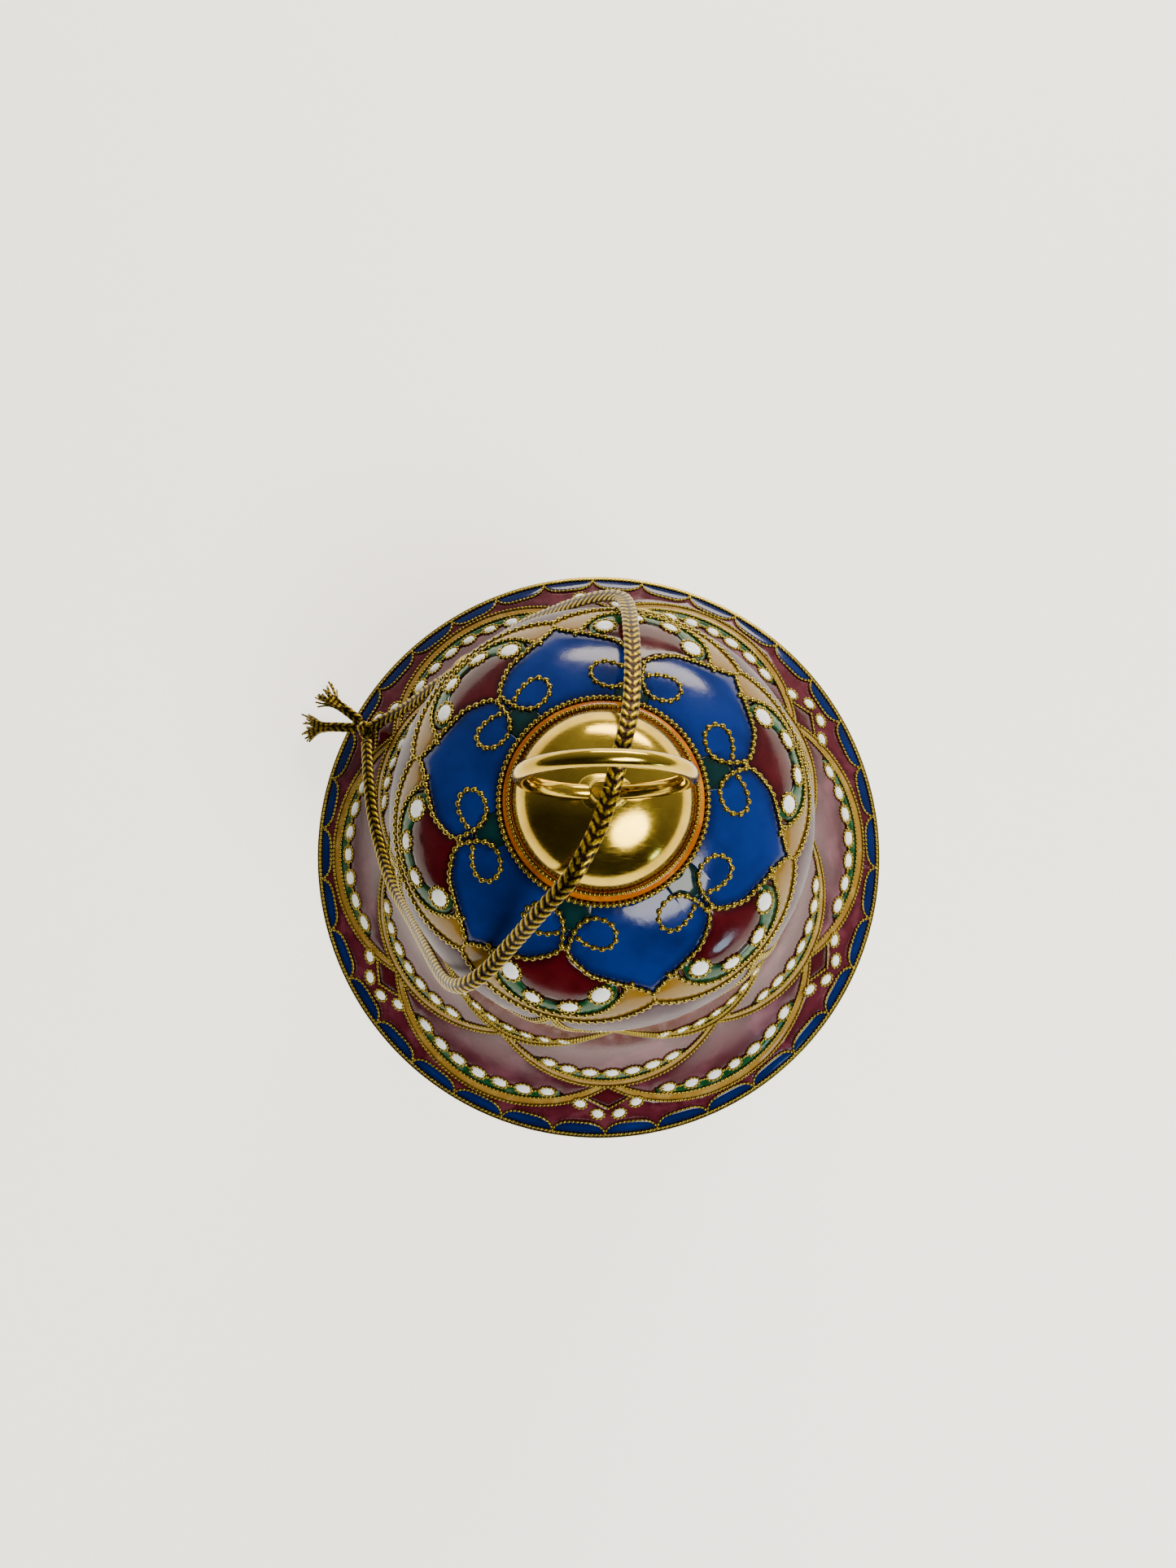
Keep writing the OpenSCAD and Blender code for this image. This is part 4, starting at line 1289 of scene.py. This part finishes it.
class BELL_OT_fixings(bpy.types.Operator):
    """Stud with its eye, washer and nut under the crown"""

    bl_idname = "bell.fixings"
    bl_label = "Stud, washer and nut"

    def execute(self, context):
        look = material("turned")
        low, high = corners("centre_stud")
        foot, top = low.z, high.z
        eye_r, eye_wire = 1.6, 0.5
        eye_z = foot + eye_r + eye_wire
        parts = Parts()
        thread = [(0, eye_z + eye_r - 0.1), (0.9, eye_z + eye_r), (STUD - 0.12, eye_z + eye_r + 0.25)]
        z = eye_z + eye_r + 0.4
        while z < top - 0.5:
            thread += [(STUD, z), (STUD - 0.13, z + 0.2)]
            z += 0.4
        thread += [(STUD - 0.1, top - 0.2), (0.9, top), (0, top)]
        parts.take(*lathe(thread, 40, closed=False))
        parts.take(*turned_ring(eye_r, eye_wire, 56, 18, "Y", (0, 0, eye_z)))
        outward(parts.build("stud", look, slot="polished_brass", replaces=("centre_stud",)))
        low, high = corners("inner_washer")
        washer = [(STUD_HOLE, low.z), (high.x, low.z), (high.x, high.z), (STUD_HOLE, high.z)]
        turned("washer", rounded(washer, 0.12), 64, look, "polished_brass", "inner_washer")
        low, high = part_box("inner_nut")
        verts, faces = hexagon_nut((high.x - low.x) / 2 / MM, low.z / MM, high.z / MM, STUD)
        outward(piece("nut", verts, faces, look, "bell", "polished_brass", smooth=False,
                      replaces=("inner_nut",)))
        return {"FINISHED"}


def hexagon_nut(wide, low, high, bore, steps=12, cut=0.3):
    """A hexagon nut with its corners chamfered."""
    count = 6 * steps
    a = np.linspace(0, 2 * math.pi, count, endpoint=False)
    flat = wide * math.cos(math.pi / 6)
    reach = flat / np.cos((a % (math.pi / 3)) - math.pi / 6)
    drop = (reach - flat) / (wide - flat) * cut
    rings = [(bore, low + 0.1), (bore + 0.15, low), (flat - 0.05, low),
             (reach, low + drop + 0.02), (reach, high - drop - 0.02),
             (flat - 0.05, high), (bore + 0.15, high), (bore, high - 0.1)]
    verts = [np.stack([r * np.cos(a), r * np.sin(a), np.broadcast_to(z, count)], -1) for r, z in rings]
    faces = []
    for i in range(len(rings)):
        j = (i + 1) % len(rings)
        for k in range(count):
            m = (k + 1) % count
            faces.append((i * count + k, i * count + m, j * count + m, j * count + k))
    return np.vstack(verts), faces


class BELL_OT_clapper(bpy.types.Operator):
    """Clapper: a link, a rod with an eye, and a turned ball"""

    bl_idname = "bell.clapper"
    bl_label = "Clapper"

    def execute(self, context):
        look = material("turned")
        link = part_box("clapper_link")
        wire = (link[1].x - link[0].x) / 2 / MM
        radius = (link[1].y / MM) - wire
        centre = (0, 0, (link[0].z + link[1].z) / 2 / MM)
        parts = Parts()
        parts.take(*turned_ring(radius, wire, 56, 18, "X", centre))
        outward(parts.build("link_ring", look, body="link", slot="polished_brass",
                            replaces=("clapper_link",)))
        low, high = (corner.z for corner in corners("clapper_stem"))
        hook_r, hook_wire, rod = 1.5, 0.45, 0.6
        hook_z = high - hook_r - hook_wire
        rod_top = hook_z - hook_r
        parts = Parts()
        parts.take(*turned_ring(hook_r, hook_wire, 56, 18, "Y", (0, 0, hook_z)))
        shank = [(0, low), (0.5, low), (rod, low + 0.12), (rod, rod_top - 0.7), (rod + 0.12, rod_top - 0.5),
                 (rod + 0.12, rod_top - 0.25), (rod - 0.05, rod_top + 0.15), (0, rod_top + 0.2)]
        parts.take(*lathe(rounded(shank, 0.08, closed=False), 36, closed=False))
        outward(parts.build("rod", look, body="clapper", slot="polished_brass", replaces=("clapper_stem",)))
        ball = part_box("clapper_ball")
        r, z = ball[1].x / MM, (ball[0].z + ball[1].z) / 2 / MM
        a = np.linspace(-math.pi / 2 + 0.15, math.pi / 2 - 0.15, 48)
        profile = [(r * math.cos(x), z + r * math.sin(x)) for x in a]
        profile = [(p[0] - (0.12 if abs(p[1] - z) < 0.16 else 0), p[1]) for p in profile]
        profile = [(rod, profile[0][1])] + profile + [(rod, profile[-1][1])]
        turned("ball", profile, 72, look, "polished_brass", "clapper_ball", body="clapper")
        return {"FINISHED"}


def soft_light(name, place, towards, size, watts, colour):
    """An oval area light, turned towards a point."""
    lamp = bpy.data.lights.new(name, "AREA")
    lamp.shape, lamp.size, lamp.size_y = "ELLIPSE", size[0], size[1]
    lamp.energy, lamp.color = watts, linear(colour)[:3]
    made = bpy.data.objects.new(name, lamp)
    made.location = place
    made.rotation_euler = (Vector(towards) - Vector(place)).to_track_quat("-Z", "Y").to_euler()
    bpy.context.scene.collection.objects.link(made)


class BELL_OT_stage(bpy.types.Operator):
    """Pale floor and soft studio light"""

    bl_idname = "bell.stage"
    bl_label = "Stage"

    def execute(self, context):
        made, tree = new_material("matt_white_table")
        where = add(tree, "ShaderNodeTexCoord").outputs["Object"]
        # A fine matt grain, with features of about 6 mm
        grain = add(tree, "ShaderNodeTexNoise", {"Vector": where, "Scale": 1000 / 6.0, "Detail": 3.0})
        tone = linear(context.scene.bell_colours.table)
        shade = tuple(c * 0.97 for c in tone[:3]) + (1.0,)
        base = add(tree, "ShaderNodeMix", {0: grain.outputs[0], 6: tone, 7: shade}, data_type="RGBA")
        bump = add(tree, "ShaderNodeBump",
                   {"Height": grain.outputs[0], "Strength": 0.1, "Distance": 0.1 * MM})
        # A little light of its own keeps the floor near white beside the dark enamels
        close(tree, base.outputs[2], 0.55, bump.outputs[0],
              **{"Emission Color": tone, "Emission Strength": 1.85})
        mesh = bpy.data.meshes.new("table")
        half = 1.2
        mesh.from_pydata([(-half, -half, 0), (half, -half, 0), (half, half, 0), (-half, half, 0)], [],
                         [(0, 1, 2, 3)])
        mesh.materials.append(made)
        table = bpy.data.objects.new("table", mesh)
        context.scene.collection.objects.link(table)
        world = bpy.data.worlds.new("studio")
        world.use_nodes = True
        sky = world.node_tree
        sky.nodes.clear()
        look = add(sky, "ShaderNodeTexCoord").outputs["Generated"]
        # The room is brightest behind the bell and dim in front of it
        facing = add(sky, "ShaderNodeVectorMath", {0: look, 1: (0.35, 0.85, -0.3)},
                     operation="DOT_PRODUCT")
        rise = add(sky, "ShaderNodeMapRange", {"Value": facing.outputs["Value"], "From Min": -0.6,
                                               "From Max": 0.7, "To Min": 0.04, "To Max": 0.5})
        glow = add(sky, "ShaderNodeBackground", {"Color": linear("#FBF7F0"), "Strength": rise.outputs[0]})
        add(sky, "ShaderNodeOutputWorld", {"Surface": glow.outputs[0]})
        context.scene.world = world
        soft_light("window", (0.2, -0.21, 0.46), (0, 0, 0.03), (0.3, 0.26), 3.6, "#FFFDF6")
        soft_light("back_window", (0.12, 0.52, 0.2), (0, 0, 0.0), (0.5, 0.14), 3.6, "#FFF3E0")
        soft_light("blue_glint", (0.43, -0.42, 0.1), (0, 0, 0.045), (0.1, 0.08), 0.25, "#BFE6FF")
        return {"FINISHED"}


OPERATORS = (
    BELL_OT_camera, BELL_OT_cord, BELL_OT_body, BELL_OT_enamel, BELL_OT_pearls, BELL_OT_wires,
    BELL_OT_collar, BELL_OT_cap, BELL_OT_fixings, BELL_OT_clapper, BELL_OT_stage,
)


class BELL_PT_sidebar(bpy.types.Panel):
    """The bell's sizes, colours and steps"""

    bl_label = "Bell ornament"
    bl_space_type = "VIEW_3D"
    bl_region_type = "UI"
    bl_category = "Bell"

    def draw(self, context):
        for group in (context.scene.bell_sizes, context.scene.bell_colours):
            box = self.layout.box()
            for name in group.__annotations__:
                box.prop(group, name)
        for step in OPERATORS:
            self.layout.operator(step.bl_idname)


CLASSES = (BellSizes, BellColours, *OPERATORS, BELL_PT_sidebar)


def register():
    """Registers the classes and gives the scene its settings."""
    for made in CLASSES:
        bpy.utils.register_class(made)
    bpy.types.Scene.bell_sizes = bpy.props.PointerProperty(type=BellSizes)
    bpy.types.Scene.bell_colours = bpy.props.PointerProperty(type=BellColours)


def unregister():
    """Takes everything back."""
    del bpy.types.Scene.bell_sizes
    del bpy.types.Scene.bell_colours
    for made in reversed(CLASSES):
        bpy.utils.unregister_class(made)


def main():
    """Builds the ornament step by step."""
    register()
    for step in OPERATORS:
        group, name = step.bl_idname.split(".")
        getattr(getattr(bpy.ops, group), name)()


if __name__ == "__main__":
    main()
